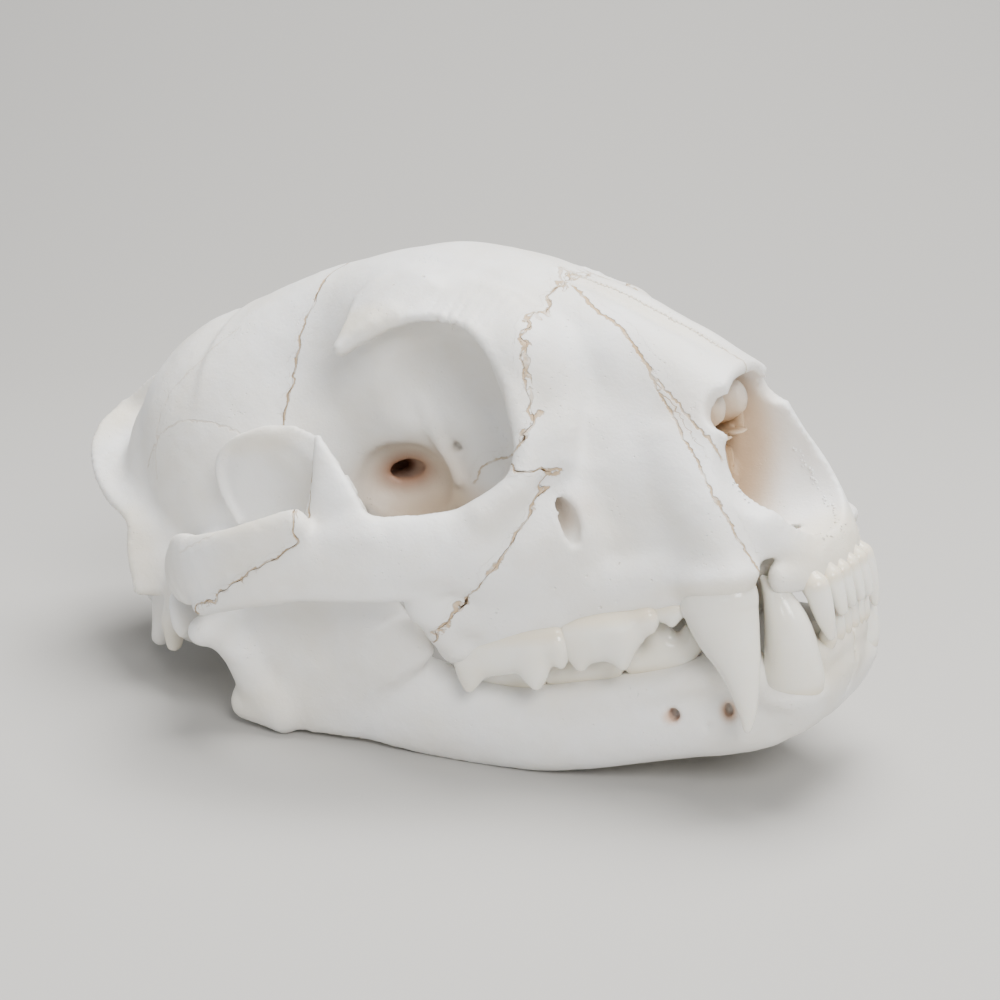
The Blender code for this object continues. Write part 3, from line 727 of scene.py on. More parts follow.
    def add_fine_forms(self, bone: Volume) -> None:
        """Ridges and swellings too fine for the frame's solids.

        Args:
            bone: the field to work on.
        """
        bone.add(strap([(-91.5, 14, 46.7, 2, 1.8), (-89.3, 13.4, 36.8, 1.8, 1.8),
                        (-86.7, 12.8, 27.1, 1.6, 1.4)], up=(1, 0, 0), count=6), 1.5)
        bone.cut(strap([(-70, 49.4, 9.6, 2.6, 2.2), (-80, 56.6, 12.6, 2.6, 2),
                        (-89, 60.6, 14.2, 2.4, 1.8), (-100, 63.4, 15.2, 1.8, 1.4)], count=9), 2)
        bone.cut(ball((-42, 32, 38), (7, 8, 8)), 3)
        bone.cut(strap([(-56, 3.2, 71.4, 2.2, 2), (-44, 3.2, 64.2, 2.2, 2),
                        (-33, 3.2, 57, 2.2, 2), (-22, 3.2, 50.1, 2, 1.8)], count=8), 1.5)
        rim = [(-96.2, 32, 62.3), (-93, 30.4, 64), (-87.9, 29.4, 65.4), (-81, 27.6, 66.2),
               (-75.1, 26.6, 65.8), (-67.8, 27.2, 63.6), (-62.4, 28.6, 60), (-59, 29.8, 55.4),
               (-56, 31.2, 49.6), (-54.4, 32.4, 43.6), (-53.6, 33.4, 37.5), (-54.4, 34.4, 32)]
        root = [(-97, 20, 70), (-93, 18, 72), (-88, 16, 72), (-81, 15, 71.5),
                (-75, 15, 70), (-68, 16, 67.5), (-60.5, 18, 64), (-54.5, 21, 57),
                (-51.5, 22.5, 50.5), (-49.5, 24, 45), (-48.5, 26.5, 39), (-49, 28.5, 33)]
        bone.add(web(rim, root, 1.6, 3.4, 36), 2.5)
        bone.add(strap([(-4.8, 0, 1.3, 3.5, 2.1), (-5.2, 7, 1.3, 3.5, 2.2), (-7, 12.6, 1.6, 3.8, 2.5),
                        (-10, 17.2, 2.2, 3.8, 2.8)], count=8), 1.5)

    def cut_holes(self, bone: Volume) -> None:
        """Holes for nerves and vessels, and the dark openings deep in the orbit.

        Args:
            bone: the field to work on.
        """
        bone.cut(strap([(-40, 40, 16.5, 4.3, 1.6), (-47, 32, 20, 4.2, 1.5),
                        (-55, 29, 23.5, 4, 2), (-66, 28.5, 28, 4, 2.6)]), 0.5)
        bone.cut(ball((-100.5, 15.8, 27.8), (12, 8.6, 9.6)), 1.5)
        bone.cut(strap([(-98, 14, 30, 2.3, 3.6), (-104, 8, 30.2, 2.2, 3.4), (-113, 1, 31, 1.8, 2.6)]), 0.5)
        bone.cut(strap([(-84, 15, 34.8, 0.8, 0.8), (-87, 10, 35.2, 0.8, 0.8)]), 0.4)
        bone.cut(strap([(-112, 17, 22, 1.4, 1.8), (-120, 12, 22, 1.4, 1.8)]), 0.5)
        bone.cut(strap([(-121, 18, 18, 1.3, 1.6), (-128, 13, 18, 1.3, 1.6)]), 0.5)
        bone.cut(strap([(-12, 4, -2, 2.2, 1.3), (-16, 4.4, 6, 2.2, 1.3)], up=(1, 0, 0)), 0.5)
        bone.cut(strap([(-62, 13, 2, 1, 1), (-60, 13, 8, 1, 1)]), 0.4)

    def add_nose_scrolls(self, bone: Volume) -> None:
        """Septum and the scrolled bones inside the nose.

        Args:
            bone: the field to work on.
        """
        bone.add(strap([(-32, 0, 24, 14, 0.9), (-70, 0, 28, 16, 1.1)]), 1)
        bone.add(strap([(-16, 0, 8.5, 2.4, 1.2), (-34, 0, 11, 4, 1.2)]), 1.5)
        scrolls = ((5.4, 36.4, -24, 6, 4.2), (10.2, 31.4, -26, 4.6, 1.5), (3.4, 22, -28, 5.6, 1.1),
                   (6.2, 22.6, -28, 5.2, 1.2), (9, 22.8, -29, 4.4, 1.2), (11.4, 20, -31, 3.2, 1.1),
                   (7.6, 14.4, -33, 1.8, 3.4))
        for y, z, start, tall, thick in scrolls:
            bone.add(strap([(start, y, z, tall * 0.7, thick * 0.7),
                            (start - 5, y, z + 0.5, tall, thick),
                            (-44, y * 0.9, z + 1, tall, thick),
                            (-62, y * 0.6, z + 3, tall, thick)], count=12), 0.5)
        bone.add(strap([(-23, 2, 29.4, 0.6, 2), (-28, 8, 29, 0.6, 5), (-40, 8, 30, 0.7, 5)]), 0.5)


@dataclass
class Jaw:
    """One half of the lower jaw, as a field of the left one."""

    step: float = 0.8
    gap: float = 0.25

    def field(self, side: Side) -> Volume:
        """Shape the half, cut along the seam at the chin and flat where it meets the floor.

        Args:
            side: the side it is for; its seam is the other side's, turned over.

        Returns:
            The field of a left half.
        """
        bone = Volume((-150, -8, -42), (8, 66, 56), self.step)
        bone.add(strap([(-13, 8.5, -22.5, 7.5, 6), (-18, 12, -25.6, 8.4, 6.6),
                        (-26, 15, -27, 9, 6), (-38, 18.5, -26.6, 9.4, 5.8),
                        (-50, 21.8, -26.7, 9.6, 5.8), (-62, 25, -26.9, 9.5, 5.8),
                        (-74, 28, -26, 9.1, 5.6), (-86, 30.5, -22.3, 10.6, 5),
                        (-98, 33.5, -17, 11.9, 4.4), (-110, 36, -11.8, 13.4, 4),
                        (-121, 38.5, -10, 13.2, 4), (-130, 40.5, -12, 9.8, 4)], count=24), 3)
        bone.add(strap([(-108, 36, -13, 26, 4), (-111.5, 38.5, -3, 26.5, 4),
                        (-111, 39.5, 7, 23, 3.4), (-109.5, 38.5, 18, 18, 2.7),
                        (-112, 39, 29, 17.5, 2.5), (-116.5, 39.6, 37.5, 16.5, 2.2),
                        (-118.6, 40, 43.4, 13.4, 2), (-119.4, 40.2, 46.6, 7.5, 1.8)],
                       up=(1, 0, 0), count=18), 3)
        bone.add(strap([(-116, 38, -2, 7, 3.6), (-135, 43, 3, 5, 3.8)]), 4)
        bone.add(strap([(-138.6, 33, 5, 4.2, 4.2), (-137, 44, 5.6, 4.2, 4.2),
                        (-136, 52.5, 6, 3.4, 3.4)]), 2)
        bone.add(strap([(-133.8, 49, 4.6, 3.6, 3.4), (-132.4, 45.5, -2, 4.6, 3.6),
                        (-132.6, 43, -9, 5, 3.8)], up=(1, 0, 0)), 3)
        bone.add(strap([(-128, 41, -16.4, 5.6, 4), (-138, 42, -14, 4.4, 3.4)]), 3)
        bone.add(ball((-11.5, 0, -19.5), (7.6, 12, 7)), 3)
        bone.add(ball((-18, 0, -26), (10.5, 14, 8.2)), 4)
        bone.add(ball((-14.4, 12.5, -23), (8.2, 7.2, 7.5)), 3)
        bone.add(ball((-13.4, 14.7, -23.2), (7.4, 6.2, 3.4)), 1.5)
        bone.add(strap([(-20, 16.5, -17.6, 4.2, 4.6), (-28, 18.4, -17.2, 4.2, 4.6),
                        (-40, 20.6, -19.2, 4, 4.6), (-60, 24.6, -20.4, 4, 4.6),
                        (-80, 28.4, -20.4, 4, 4.4)], count=12), 2)
        bone.add(strap([(-5.8, 0, -15.4, 3.2, 2.4), (-6.2, 6, -15.4, 3.2, 2.4),
                        (-7.8, 10.6, -16.4, 3.4, 2.6)], count=6), 1.5)
        bone.cut(ball((-111, 49.5, 8), (20, 7, 20)), 4)
        self.add_fine_forms(bone)
        bone.roughen(0.18, 6.0, 11)
        bone.roughen(0.06, 2.4, 12)
        self.trim(bone, side)
        return bone

    def add_fine_forms(self, bone: Volume) -> None:
        """Raised rim of the upper edge, the muscle ridge, and the small holes near the chin.

        Args:
            bone: the field to work on.
        """
        bone.cut(ball((-118, 46.4, 31.5), (13, 6.4, 13)), 1.8)
        bone.add(strap([(-99, 40.2, 24, 1.7, 1.3), (-100.5, 40.4, 34, 1.6, 1.3),
                        (-105.5, 40.6, 42.5, 1.4, 1.2), (-114, 40.9, 46.6, 1.2, 1.1),
                        (-125, 41, 46.2, 1.1, 1), (-130.6, 41.2, 41.5, 1, 1),
                        (-131, 41.2, 35, 1, 1), (-128.6, 41, 28, 0.9, 0.9)], count=21), 1.2)
        bone.cut(strap([(-35.5, 27, -24.5, 1.4, 1.2), (-37.5, 20, -25, 1.4, 1.2)]), 0.6)
        bone.cut(strap([(-23.8, 24, -25, 1.6, 1), (-26, 18, -25, 1.6, 1)]), 0.6)
        bone.cut(strap([(-30, 26, -28, 0.5, 0.5), (-30.5, 20, -28, 0.5, 0.5)]), 0.3)
        bone.cut(strap([(-124, 33, -2, 1.6, 1.6), (-118, 40, -4, 1.6, 1.6)]), 0.6)

    def trim(self, bone: Volume, side: Side) -> None:
        """Cut the seam at the chin and the flats on the floor.

        Args:
            bone: the field to work on.
            side: the side that it is for.
        """
        x, y, z = bone.grid()
        wave = 0.55 * np.sin(z * 1.9) * np.sin(x * 0.9 + 1) + 0.3 * np.sin(z * 4.3 + x * 2.1)
        bone.keep_above(y - self.gap / 2 - side.value * wave)
        floor = -POSE_PLACE[2] / MILLIMETRE
        bone.keep_above(x * math.sin(SNOUT_TILT) + z * math.cos(SNOUT_TILT) - floor + 0 * y)


@dataclass(frozen=True)
class Region:
    """The block that one named bone takes out of the skull, behind wavy planes."""

    name: str
    blocks: tuple[tuple[tuple[Row, Row], ...], ...]
    ripple: float = 0.5
    both: bool = False

    def level(self, x: np.ndarray, y: np.ndarray, z: np.ndarray) -> np.ndarray:
        """Measure how far points are from the block's wavy walls.

        Args:
            x: places along x.
            y: places along y.
            z: places along z.

        Returns:
            The rough distances, negative inside.
        """
        if self.both:
            y = np.abs(y)
        wave = (np.sin(y * 1.5 + z * 0.7) + np.sin(z * 1.7 - x * 0.6 + 2)
                + np.sin(x * 1.4 + y * 0.8 + 4)
                + 1.2 * np.sin(y * 0.55 + z * 0.5 + 1) * np.sin(x * 0.4 + z * 0.35))
        nearest = None
        for planes in self.blocks:
            level = None
            for point, normal in planes:
                normal = np.array(normal, float) / np.linalg.norm(normal)
                off = ((x - point[0]) * normal[0] + (y - point[1]) * normal[1]
                       + (z - point[2]) * normal[2])
                level = off if level is None else np.maximum(level, off)
            nearest = level if nearest is None else np.minimum(nearest, level)
        return nearest + self.ripple * wave * 0.5

    def solid(self, side: int, grow: float) -> bpy.types.Object:
        """The block as a closed object.

        Args:
            side: +1 for the left side, -1 for the right.
            grow: how far its walls are moved out.

        Returns:
            A new object, for one Boolean.
        """
        step = 1.1
        block = Volume((-214, -72, -24), (14, 72, 94), step)
        x, y, z = block.grid()
        level = self.level(x, y * side, z)
        walls = np.maximum(np.maximum(np.abs(x + 100) - 112, np.abs(y) - 70), np.abs(z - 35) - 57)
        level = np.maximum(level - grow, walls)
        block.values = np.clip(level, -FAR, FAR).astype(np.float32)
        return plain_object("region", block.mesh("region"))


SEAM = 0.16
BAR_WALLS = (((-96.5, 58, 30), (1, 0, 0)), ((-97, 58, 25.5), (0.37, 0, -0.93)),
             ((-100, 45, 30), (0, -1, 0)), ((-142, 58, 25), (-1, 0, 0)),
             ((-100, 58, 40), (0, 0, 1)))
CHEEKS = Region("cheekbone", ((((-46, 35, 30), (0.57, -0.38, -0.73)),
                               ((-56, 33, 30), (-0.23, -0.97, 0)), ((-56, 33, 34), (0.42, 0, 0.91)),
                               ((-160, 55, 10), (-1, 0, 0))),), 0.8)
BRAINCASE = Region("braincase", ((((-114, 0, 79), (1, 0, -0.28)),), BAR_WALLS), 0.6, True)
FOREHEAD = Region("forehead", ((((-53.4, 0, 62), (1, 0, 0.12)),
                                ((-56, 0, 36), (0.73, 0, -0.69))),), 0.8)


def part_off(whole: bpy.types.Object, region: Region, side: int, name: str) -> bpy.types.Object:
    """Cut a named bone out of the skull, with a hair-thin seam between the two.

    Args:
        whole: the skull, which loses the bone.
        region: the block that the bone fills.
        side: +1 for the left side, -1 for the right.
        name: the name of the new object.

    Returns:
        The bone.
    """
    piece = plain_object(name, whole.data.copy())
    boolean(piece, 'INTERSECT', region.solid(side, -SEAM / 2))
    boolean(whole, 'DIFFERENCE', region.solid(side, SEAM / 2))
    keep_largest(piece)
    return piece


@dataclass(frozen=True)
class BoneFinish:
    """Bleached bone: chalky white, creamy where it is thin or stained."""

    colour: tuple[float, float, float] = (0.87, 0.865, 0.85)
    roughness: float = 0.5
    scatter: float = 0.12


@dataclass(frozen=True)
class EnamelFinish:
    """Tooth enamel: ivory, glossy and a little translucent."""

    colour: tuple[float, float, float] = (0.88, 0.86, 0.79)
    roughness: float = 0.15
    scatter: float = 0.25


@dataclass(frozen=True)
class StainAndShade:
    """A soft spot of another colour on the bone, in the skull's own millimetres: some are the bone's own
    stains, others are painted shade in its holes and hollows.
    """

    centre: Row
    radii: Row
    colour: Row
    strength: float

    def weight(self, points: np.ndarray) -> np.ndarray:
        """Find how much each point, on either side, takes the spot's colour.

        Args:
            points: one row of x, y, z for each point.

        Returns:
            A share from 0 to 1 for each.
        """
        folded = points * (1, np.sign(self.centre[1]) or 1, 1)
        folded[:, 1] = np.abs(folded[:, 1]) if self.centre[1] else folded[:, 1]
        away = np.linalg.norm((folded - np.array(self.centre)) / np.array(self.radii), axis=1)
        t = np.clip(1.5 - away, 0, 1)
        return self.strength * t * t * (3 - 2 * t)


# Tan: in the nose cavity, on the orbit floor and in the holes, partly the bone's own staining and partly
# painted shade of these hollows.
TAN_STAIN_AND_SHADE = (0.62, 0.46, 0.31)
CREAM = (0.84, 0.76, 0.58)
# Dark brown: painted shade in the openings deep in the orbit.
SHADE_BROWN = (0.36, 0.2, 0.13)
SUTURE_BROWN = (0.5, 0.33, 0.16)
NECK = (0.8, 0.66, 0.42)
AGED = (0.86, 0.8, 0.68)
# Pinkish brown: painted shade in the small holes near the chin.
HOLE_SHADE_PINK = (0.62, 0.42, 0.3)
# Spots of colour: cream spots are the bone's own tone; tan, dark brown and pink spots in holes and hollows
# are painted shade, the tan partly stain too.
STAINS_AND_SHADE = (
    # Deep in the orbit: tan on its floor, partly stain and partly painted shade; dark brown painted shade
    # at its openings.
    StainAndShade((-99, 14, 26), (15, 10, 10.5), TAN_STAIN_AND_SHADE, 0.8),
    StainAndShade((-104, 9, 30), (7.2, 5.4, 4.6), SHADE_BROWN, 0.95),
    StainAndShade((-112, 2, 31.5), (8, 6, 5), SHADE_BROWN, 1.0),
    StainAndShade((-90, 12, 19), (20, 8, 6), TAN_STAIN_AND_SHADE, 0.5),
    # Tan inside the nose cavity: stain and painted shade of the hollow.
    StainAndShade((-40, 0, 18), (22, 13, 14), TAN_STAIN_AND_SHADE, 0.95),
    StainAndShade((-28, 11, 27), (9, 7, 13), TAN_STAIN_AND_SHADE, 0.85),
    StainAndShade((-50, 0, 32), (30, 12, 14), TAN_STAIN_AND_SHADE, 0.8),
    StainAndShade((-31, 6, 24), (11, 8, 16), (0.6, 0.43, 0.27), 0.95),
    # Tan at the hole below the orbit and at the big hole at the back: painted shade in the holes, partly
    # stain.
    StainAndShade((-52, 28, 22), (8, 4.5, 4.5), TAN_STAIN_AND_SHADE, 0.5),
    StainAndShade((-182, 0, 14), (12, 8, 8), TAN_STAIN_AND_SHADE, 0.7),
    StainAndShade((-45, 0, 2), (50, 24, 5), CREAM, 0.3),
    StainAndShade((-198, 6, 50), (10, 16, 6), CREAM, 0.45),
    StainAndShade((-170, 35, 20), (6, 4, 16), CREAM, 0.4),
    StainAndShade((-161, 37, 0), (6, 5, 6), CREAM, 0.4),
    StainAndShade((-6, 5, 5), (7, 13, 5), CREAM, 0.55),
    StainAndShade((-21, 26, 3), (11, 8, 2.6), CREAM, 0.4),
    StainAndShade((-6, 5, -17), (8, 12, 8), CREAM, 0.55),
    StainAndShade((-92, 28, 67), (9, 6, 3.4), CREAM, 0.5),
    StainAndShade((-113, 58, 31), (18, 5, 4), CREAM, 0.4),
    StainAndShade((-36, 0, 58), (24, 3.4, 15), CREAM, 0.4),
    StainAndShade((-134, 42, -13), (9, 5, 6), CREAM, 0.4),
    StainAndShade((-120, 41, 46), (14, 3, 3), CREAM, 0.35),
    # Painted shade in the small holes near the chin.
    StainAndShade((-37, 22.6, -25), (2, 3, 1.7), HOLE_SHADE_PINK, 0.9),
    StainAndShade((-25, 20.6, -25), (1.8, 3, 2.2), HOLE_SHADE_PINK, 0.9),
)


def write_tint(mesh: bpy.types.Mesh, colour: np.ndarray) -> None:
    """Store the colours of a mesh as the point attribute tint.

    Args:
        mesh: the mesh.
        colour: a row of red, green and blue for each vertex.
    """
    values = np.ones((len(colour), 4), np.float32)
    values[:, :3] = colour
    tint = mesh.attributes.new("tint", 'FLOAT_COLOR', 'POINT')
    tint.data.foreach_set("color", values.ravel())


def paint(mesh: bpy.types.Mesh, base: Row, stains_and_shade: Sequence[StainAndShade]) -> None:
    """Give each vertex its colour, with the bone's stains and the painted shade of its holes and hollows.

    Args:
        mesh: the mesh, still in the skull's own millimetres.
        base: the colour where there is no stain and no painted shade.
        stains_and_shade: the spots of stain and of painted shade to lay over it.
    """
    points = points_of(mesh)
    colour = np.tile(np.array(base, float), (len(points), 1))
    # Each spot blends in its colour: a real stain, or painted shade darkening a hole or hollow.
    for tint_spot in stains_and_shade:
        weight = tint_spot.weight(points)[:, None]
        colour = colour * (1 - weight) + np.array(tint_spot.colour) * weight
    write_tint(mesh, colour)


def new_group(name: str, kind: str, inputs: dict[str, str],
              outputs: dict[str, str]) -> bpy.types.NodeTree:
    """Make an empty node group with its sockets.

    Args:
        name: the group's name.
        kind: the kind of its tree.
        inputs: the kind of each input, by name.
        outputs: the kind of each output, by name.

    Returns:
        The group.
    """
    group = bpy.data.node_groups.new(name, kind)
    for way, sockets in (('INPUT', inputs), ('OUTPUT', outputs)):
        for label, socket in sockets.items():
            group.interface.new_socket(label, in_out=way, socket_type="NodeSocket" + socket)
    return group


class GroupKit:
    """Shorthands for the nodes inside one shader group."""

    def __init__(self, group: bpy.types.ShaderNodeTree) -> None:
        """Start with the group's input and output nodes and the object's coordinates.

        Args:
            group: the group to fill.
        """
        self.nodes, self.links = group.nodes, group.links
        self.source = self.nodes.new('NodeGroupInput').outputs
        self.sink = self.nodes.new('NodeGroupOutput').inputs
        self.place = self.nodes.new('ShaderNodeTexCoord').outputs['Object']

    def noise(self, scale: float, detail: float = 2.0, rough: float = 0.5) -> bpy.types.NodeSocket:
        """Add a noise texture.

        Args:
            scale: how fine it is.
            detail: how many finer layers it has.
            rough: how strong these are.

        Returns:
            Its value.
        """
        node = self.nodes.new('ShaderNodeTexNoise')
        for name, value in (('Scale', scale), ('Detail', detail), ('Roughness', rough)):
            node.inputs[name].default_value = value
        self.links.new(self.place, node.inputs['Vector'])
        return node.outputs['Fac']

    def joined(self, operation: str, *values: bpy.types.NodeSocket | float) -> bpy.types.NodeSocket:
        """Add a sum.

        Args:
            operation: what the node works out.
            values: sockets or numbers that go in.

        Returns:
            The result.
        """
        node = self.nodes.new('ShaderNodeMath')
        node.operation = operation
        for socket, value in zip(node.inputs, values):
            if isinstance(value, float):
                socket.default_value = value
            else:
                self.links.new(value, socket)
        return node.outputs[0]

    def mapped(self, value: bpy.types.NodeSocket, start: tuple[float, float],
               end: tuple[float, float] = (0.0, 1.0), way: str = 'LINEAR') -> bpy.types.NodeSocket:
        """Map one range of values to another.

        Args:
            value: the value that goes in.
            start: the range that it is taken from.
            end: the range that it is brought to.
            way: how the values between are worked out.

        Returns:
            The result.
        """
        node = self.nodes.new('ShaderNodeMapRange')
        node.interpolation_type = way
        for side, (low, high) in (('From', start), ('To', end)):
            node.inputs[side + ' Min'].default_value = low
            node.inputs[side + ' Max'].default_value = high
        self.links.new(value, node.inputs['Value'])
        return node.outputs['Result']

    def mixed(self, factor: bpy.types.NodeSocket, a: bpy.types.NodeSocket,
              b: bpy.types.NodeSocket, way: str) -> bpy.types.NodeSocket:
        """Blend two colours.

        Args:
            factor: the share of the second.
            a: the first colour.
            b: the second colour.
            way: how they blend.

        Returns:
            The blend.
        """
        node = self.nodes.new('ShaderNodeMix')
        node.data_type = 'RGBA'
        node.blend_type = way
        for name, socket in (('Factor', factor), ('A', a), ('B', b)):
            self.links.new(socket, node.inputs[name])
        return node.outputs['Result']


def grain_group() -> bpy.types.ShaderNodeTree:
    """Node group of the fine grain that bone and enamel share.

    Returns:
        A group that puts out a varied colour, a height and a mask from a colour and sizes.
    """
    group = new_group("grain", 'ShaderNodeTree',
                      {"Colour": "Color", "Scale": "Float", "Mottle": "Float"},
                      {"Colour": "Color", "Height": "Float", "Mask": "Float"})
    kit = GroupKit(group)
    nodes, links = kit.nodes, kit.links
    scaled = nodes.new('ShaderNodeVectorMath')
    scaled.operation = 'SCALE'
    links.new(kit.place, scaled.inputs[0])
    links.new(kit.source['Scale'], scaled.inputs['Scale'])
    kit.place = scaled.outputs['Vector']
    broad, fine = kit.noise(45.0, 4.0, 0.55), kit.noise(1400.0, 3.0, 0.6)
    pores = nodes.new('ShaderNodeTexVoronoi')
    pores.inputs['Scale'].default_value = 900.0
    links.new(kit.place, pores.inputs['Vector'])
    pit = kit.mapped(pores.outputs['Distance'], (0.0, 0.22), (-1.0, 0.0))
    pitted = kit.joined('MULTIPLY', pit, kit.mapped(kit.noise(120.0), (0.52, 0.68)))
    height = kit.joined('ADD', kit.joined('MULTIPLY', fine, 0.35), pitted)
    height = kit.joined('ADD', height, kit.joined('MULTIPLY', kit.noise(380.0), 0.6))
    ramp = nodes.new('ShaderNodeValToRGB')
    for stop, place, colour in zip(ramp.color_ramp.elements, (0.3, 0.62), (AGED, (1, 1, 1))):
        stop.position = place
        stop.color = (*colour, 1)
    links.new(broad, ramp.inputs['Fac'])
    shade = kit.mixed(kit.source['Mottle'], kit.source['Colour'], ramp.outputs['Color'], 'MULTIPLY')
    for name, socket in (('Colour', shade), ('Height', height), ('Mask', broad)):
        links.new(socket, kit.sink[name])
    return group


def suture_group() -> bpy.types.ShaderNodeTree:
    """Node group that draws the sutures from the point attribute seam.

    Returns:
        A group that puts out a colour with the lines laid over it, and their mask.
    """
    group = new_group("suture", 'ShaderNodeTree', {"Colour": "Color", "Line colour": "Color"},
                      {"Colour": "Color", "Line": "Float"})
    kit = GroupKit(group)
    seam = kit.nodes.new('ShaderNodeAttribute')
    seam.attribute_name = "seam"
    parts = kit.nodes.new('ShaderNodeSeparateXYZ')
    kit.links.new(seam.outputs['Vector'], parts.inputs['Vector'])
    across, strength, half_width = parts.outputs
    wiggle = kit.joined('MULTIPLY', kit.joined('SUBTRACT', kit.noise(520.0), 0.5), 1.7)
    fine = kit.joined('MULTIPLY', kit.joined('SUBTRACT', kit.noise(1500.0), 0.5), 0.5)
    off = kit.joined('ABSOLUTE', kit.joined('ADD', across, kit.joined('ADD', wiggle, fine)))
    edge = kit.mapped(kit.joined('SUBTRACT', off, half_width), (0.22, -0.05), way='SMOOTHSTEP')
    patchy = kit.mapped(kit.noise(260.0), (0.34, 0.5), (0.35, 1.0))
    line = kit.joined('MULTIPLY', kit.joined('MULTIPLY', edge, strength), patchy)
    drawn = kit.mixed(line, kit.source['Colour'], kit.source['Line colour'], 'MIX')
    kit.links.new(line, kit.sink['Line'])
    kit.links.new(drawn, kit.sink['Colour'])
    return group


class Paintbox:
    """The materials, each built once."""

    def __init__(self) -> None:
        """Build the two finishes and the groups that they share."""
        self.grain = grain_group()
        self.suture = suture_group()
        self.bone = self.finished("bleached_bone", BoneFinish(), 0.55, 0.75, 0.0003)
        self.enamel = self.finished("tooth_enamel", EnamelFinish(), 0.5, 0.12, 0.00006)

    def finished(self, name: str, finish: BoneFinish | EnamelFinish, mottle: float,
                 strength: float, depth: float) -> bpy.types.Material:
        """A material whose colour comes from the attribute tint.

        Args:
            name: the material's name.
            finish: its colour, gloss and scattering.
            mottle: how far the grain varies the colour.
            strength: how strongly the bump shows.
            depth: how deep the bump is, in metres.

        Returns:
            The material.
        """
        material = bpy.data.materials.new(name)
        material.use_nodes = True
        nodes, links = material.node_tree.nodes, material.node_tree.links
        shader = nodes["Principled BSDF"]
        tint = nodes.new('ShaderNodeAttribute')
        tint.attribute_name = "tint"
        grain = nodes.new('ShaderNodeGroup')
        grain.node_tree = self.grain
        grain.inputs['Scale'].default_value = 1.0
        grain.inputs['Mottle'].default_value = mottle
        links.new(tint.outputs['Color'], grain.inputs['Colour'])
        bump = nodes.new('ShaderNodeBump')
        bump.inputs['Strength'].default_value = strength
        bump.inputs['Distance'].default_value = depth
        if name == "bleached_bone":
            lines = nodes.new('ShaderNodeGroup')
            lines.node_tree = self.suture
            lines.inputs['Line colour'].default_value = (*SUTURE_BROWN, 1)
            links.new(grain.outputs['Colour'], lines.inputs['Colour'])
            links.new(lines.outputs['Colour'], shader.inputs['Base Color'])
            carved = nodes.new('ShaderNodeMath')
            carved.operation = 'MULTIPLY_ADD'
            carved.inputs[1].default_value = -2.0
            links.new(lines.outputs['Line'], carved.inputs[0])
            links.new(grain.outputs['Height'], carved.inputs[2])
            links.new(carved.outputs[0], bump.inputs['Height'])
        else:
            links.new(grain.outputs['Colour'], shader.inputs['Base Color'])
            links.new(grain.outputs['Height'], bump.inputs['Height'])
        links.new(bump.outputs['Normal'], shader.inputs['Normal'])
        rough = nodes.new('ShaderNodeMapRange')
        rough.inputs['To Min'].default_value = finish.roughness - 0.06
        rough.inputs['To Max'].default_value = finish.roughness + 0.08
        links.new(grain.outputs['Mask'], rough.inputs['Value'])
        links.new(rough.outputs['Result'], shader.inputs['Roughness'])
        shader.inputs['Subsurface Weight'].default_value = finish.scatter
        shader.inputs['Subsurface Radius'].default_value = (1.0, 0.75, 0.55)
        shader.inputs['Subsurface Scale'].default_value = 0.0018
        return material


def finish_piece(item: bpy.types.Object, material: bpy.types.Material,
                 nodes: Sequence[str]) -> None:
    """Pose a piece, dress it and hand it to the frame.

    Args:
        item: the piece, still in the skull's own millimetres.
        material: its finish.
        nodes: the frame's nodes that it stands for.
    """
    item.data.transform(pose())
    item.data.materials.clear()
    item.data.materials.append(material)
    item.data.shade_smooth()
    item.data.set_sharp_from_angle(angle=math.radians(50))
    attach(item, "root")
    if nodes:
        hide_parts(*nodes)
    LOG.info("%s: %d faces", item.name, len(item.data.polygons))


@dataclass(frozen=True)
class Tooth:
    """A tooth as cusps and a base, each a swept ellipse in the skull's own millimetres."""

    name: str
    cusps: tuple[tuple[Row, ...], ...]
    body: tuple[Row, ...] = ()
    blend: float = 0.8
    neck: float = -1.0
    grooves: tuple[tuple[Row, ...], ...] = ()
    lead: Row = (0, 0, 0)

    def shape(self, side: Side, flip: float) -> bpy.types.Object:
        """Build the tooth.

        Args:
            side: the side of the mouth.
            flip: +1 for an upper tooth, whose tip points down, or -1 for a lower one.

        Returns:
            The tooth as an object in the skull's own millimetres.
        """
        rows = np.array([row for cusp in (*self.cusps, self.body) for row in cusp], float)
        reach = rows[:, 3:5].max() + 1.5
        step = 0.38
        volume = Volume(rows[:, :3].min(0) - reach, rows[:, :3].max(0) + reach, step)
        for cusp in self.cusps:
            count = 4 * len(cusp) if len(cusp) > 2 else 0
            volume.add(strap(cusp, up=(1, 0, 0), count=count), self.blend)
        if self.body:
            volume.add(strap(self.body, count=4 * len(self.body)), self.blend)
        for groove in self.grooves:
            volume.cut(strap(groove, up=(1, 0, 0)), 0.4)
        item = plain_object(f"{self.name}_{side.word}", volume.mesh(self.name))
        soften(item, 2)
        if side is Side.RIGHT:
            item.data.transform(Matrix.Diagonal((1, -1, 1, 1)))
            item.data.flip_normals()
        else:
            item.data.transform(Matrix.Translation(self.lead))
        points = points_of(item.data)
        neck = np.clip(((points[:, 2] - self.neck) * flip + 0.8) / 2.0, 0, 1)[:, None] * 0.45
        write_tint(item.data, np.array(EnamelFinish.colour) * (1 - neck) + np.array(NECK) * neck)
        return item


def cone(tip: Row, base: Row, long: float, wide: float, blunt: float = 0.5) -> tuple[Row, ...]:
    """A simple cusp.

    Args:
        tip: where it ends.
        base: the middle of its foot.
        long: half length of the foot along x.
        wide: half width of the foot.
        blunt: half size of the tip.

    Returns:
        Rows for a tooth.
    """
    tip, base = np.array(tip, float), np.array(base, float)
    rows = []
    for t, size in ((0.0, 1.0), (0.35, 0.86), (0.7, 0.52), (1.0, 0.0)):
        place = base + (tip - base) * t
        rows.append((*place, blunt + (long - blunt) * size, blunt + (wide - blunt) * size))
    return tuple(rows)


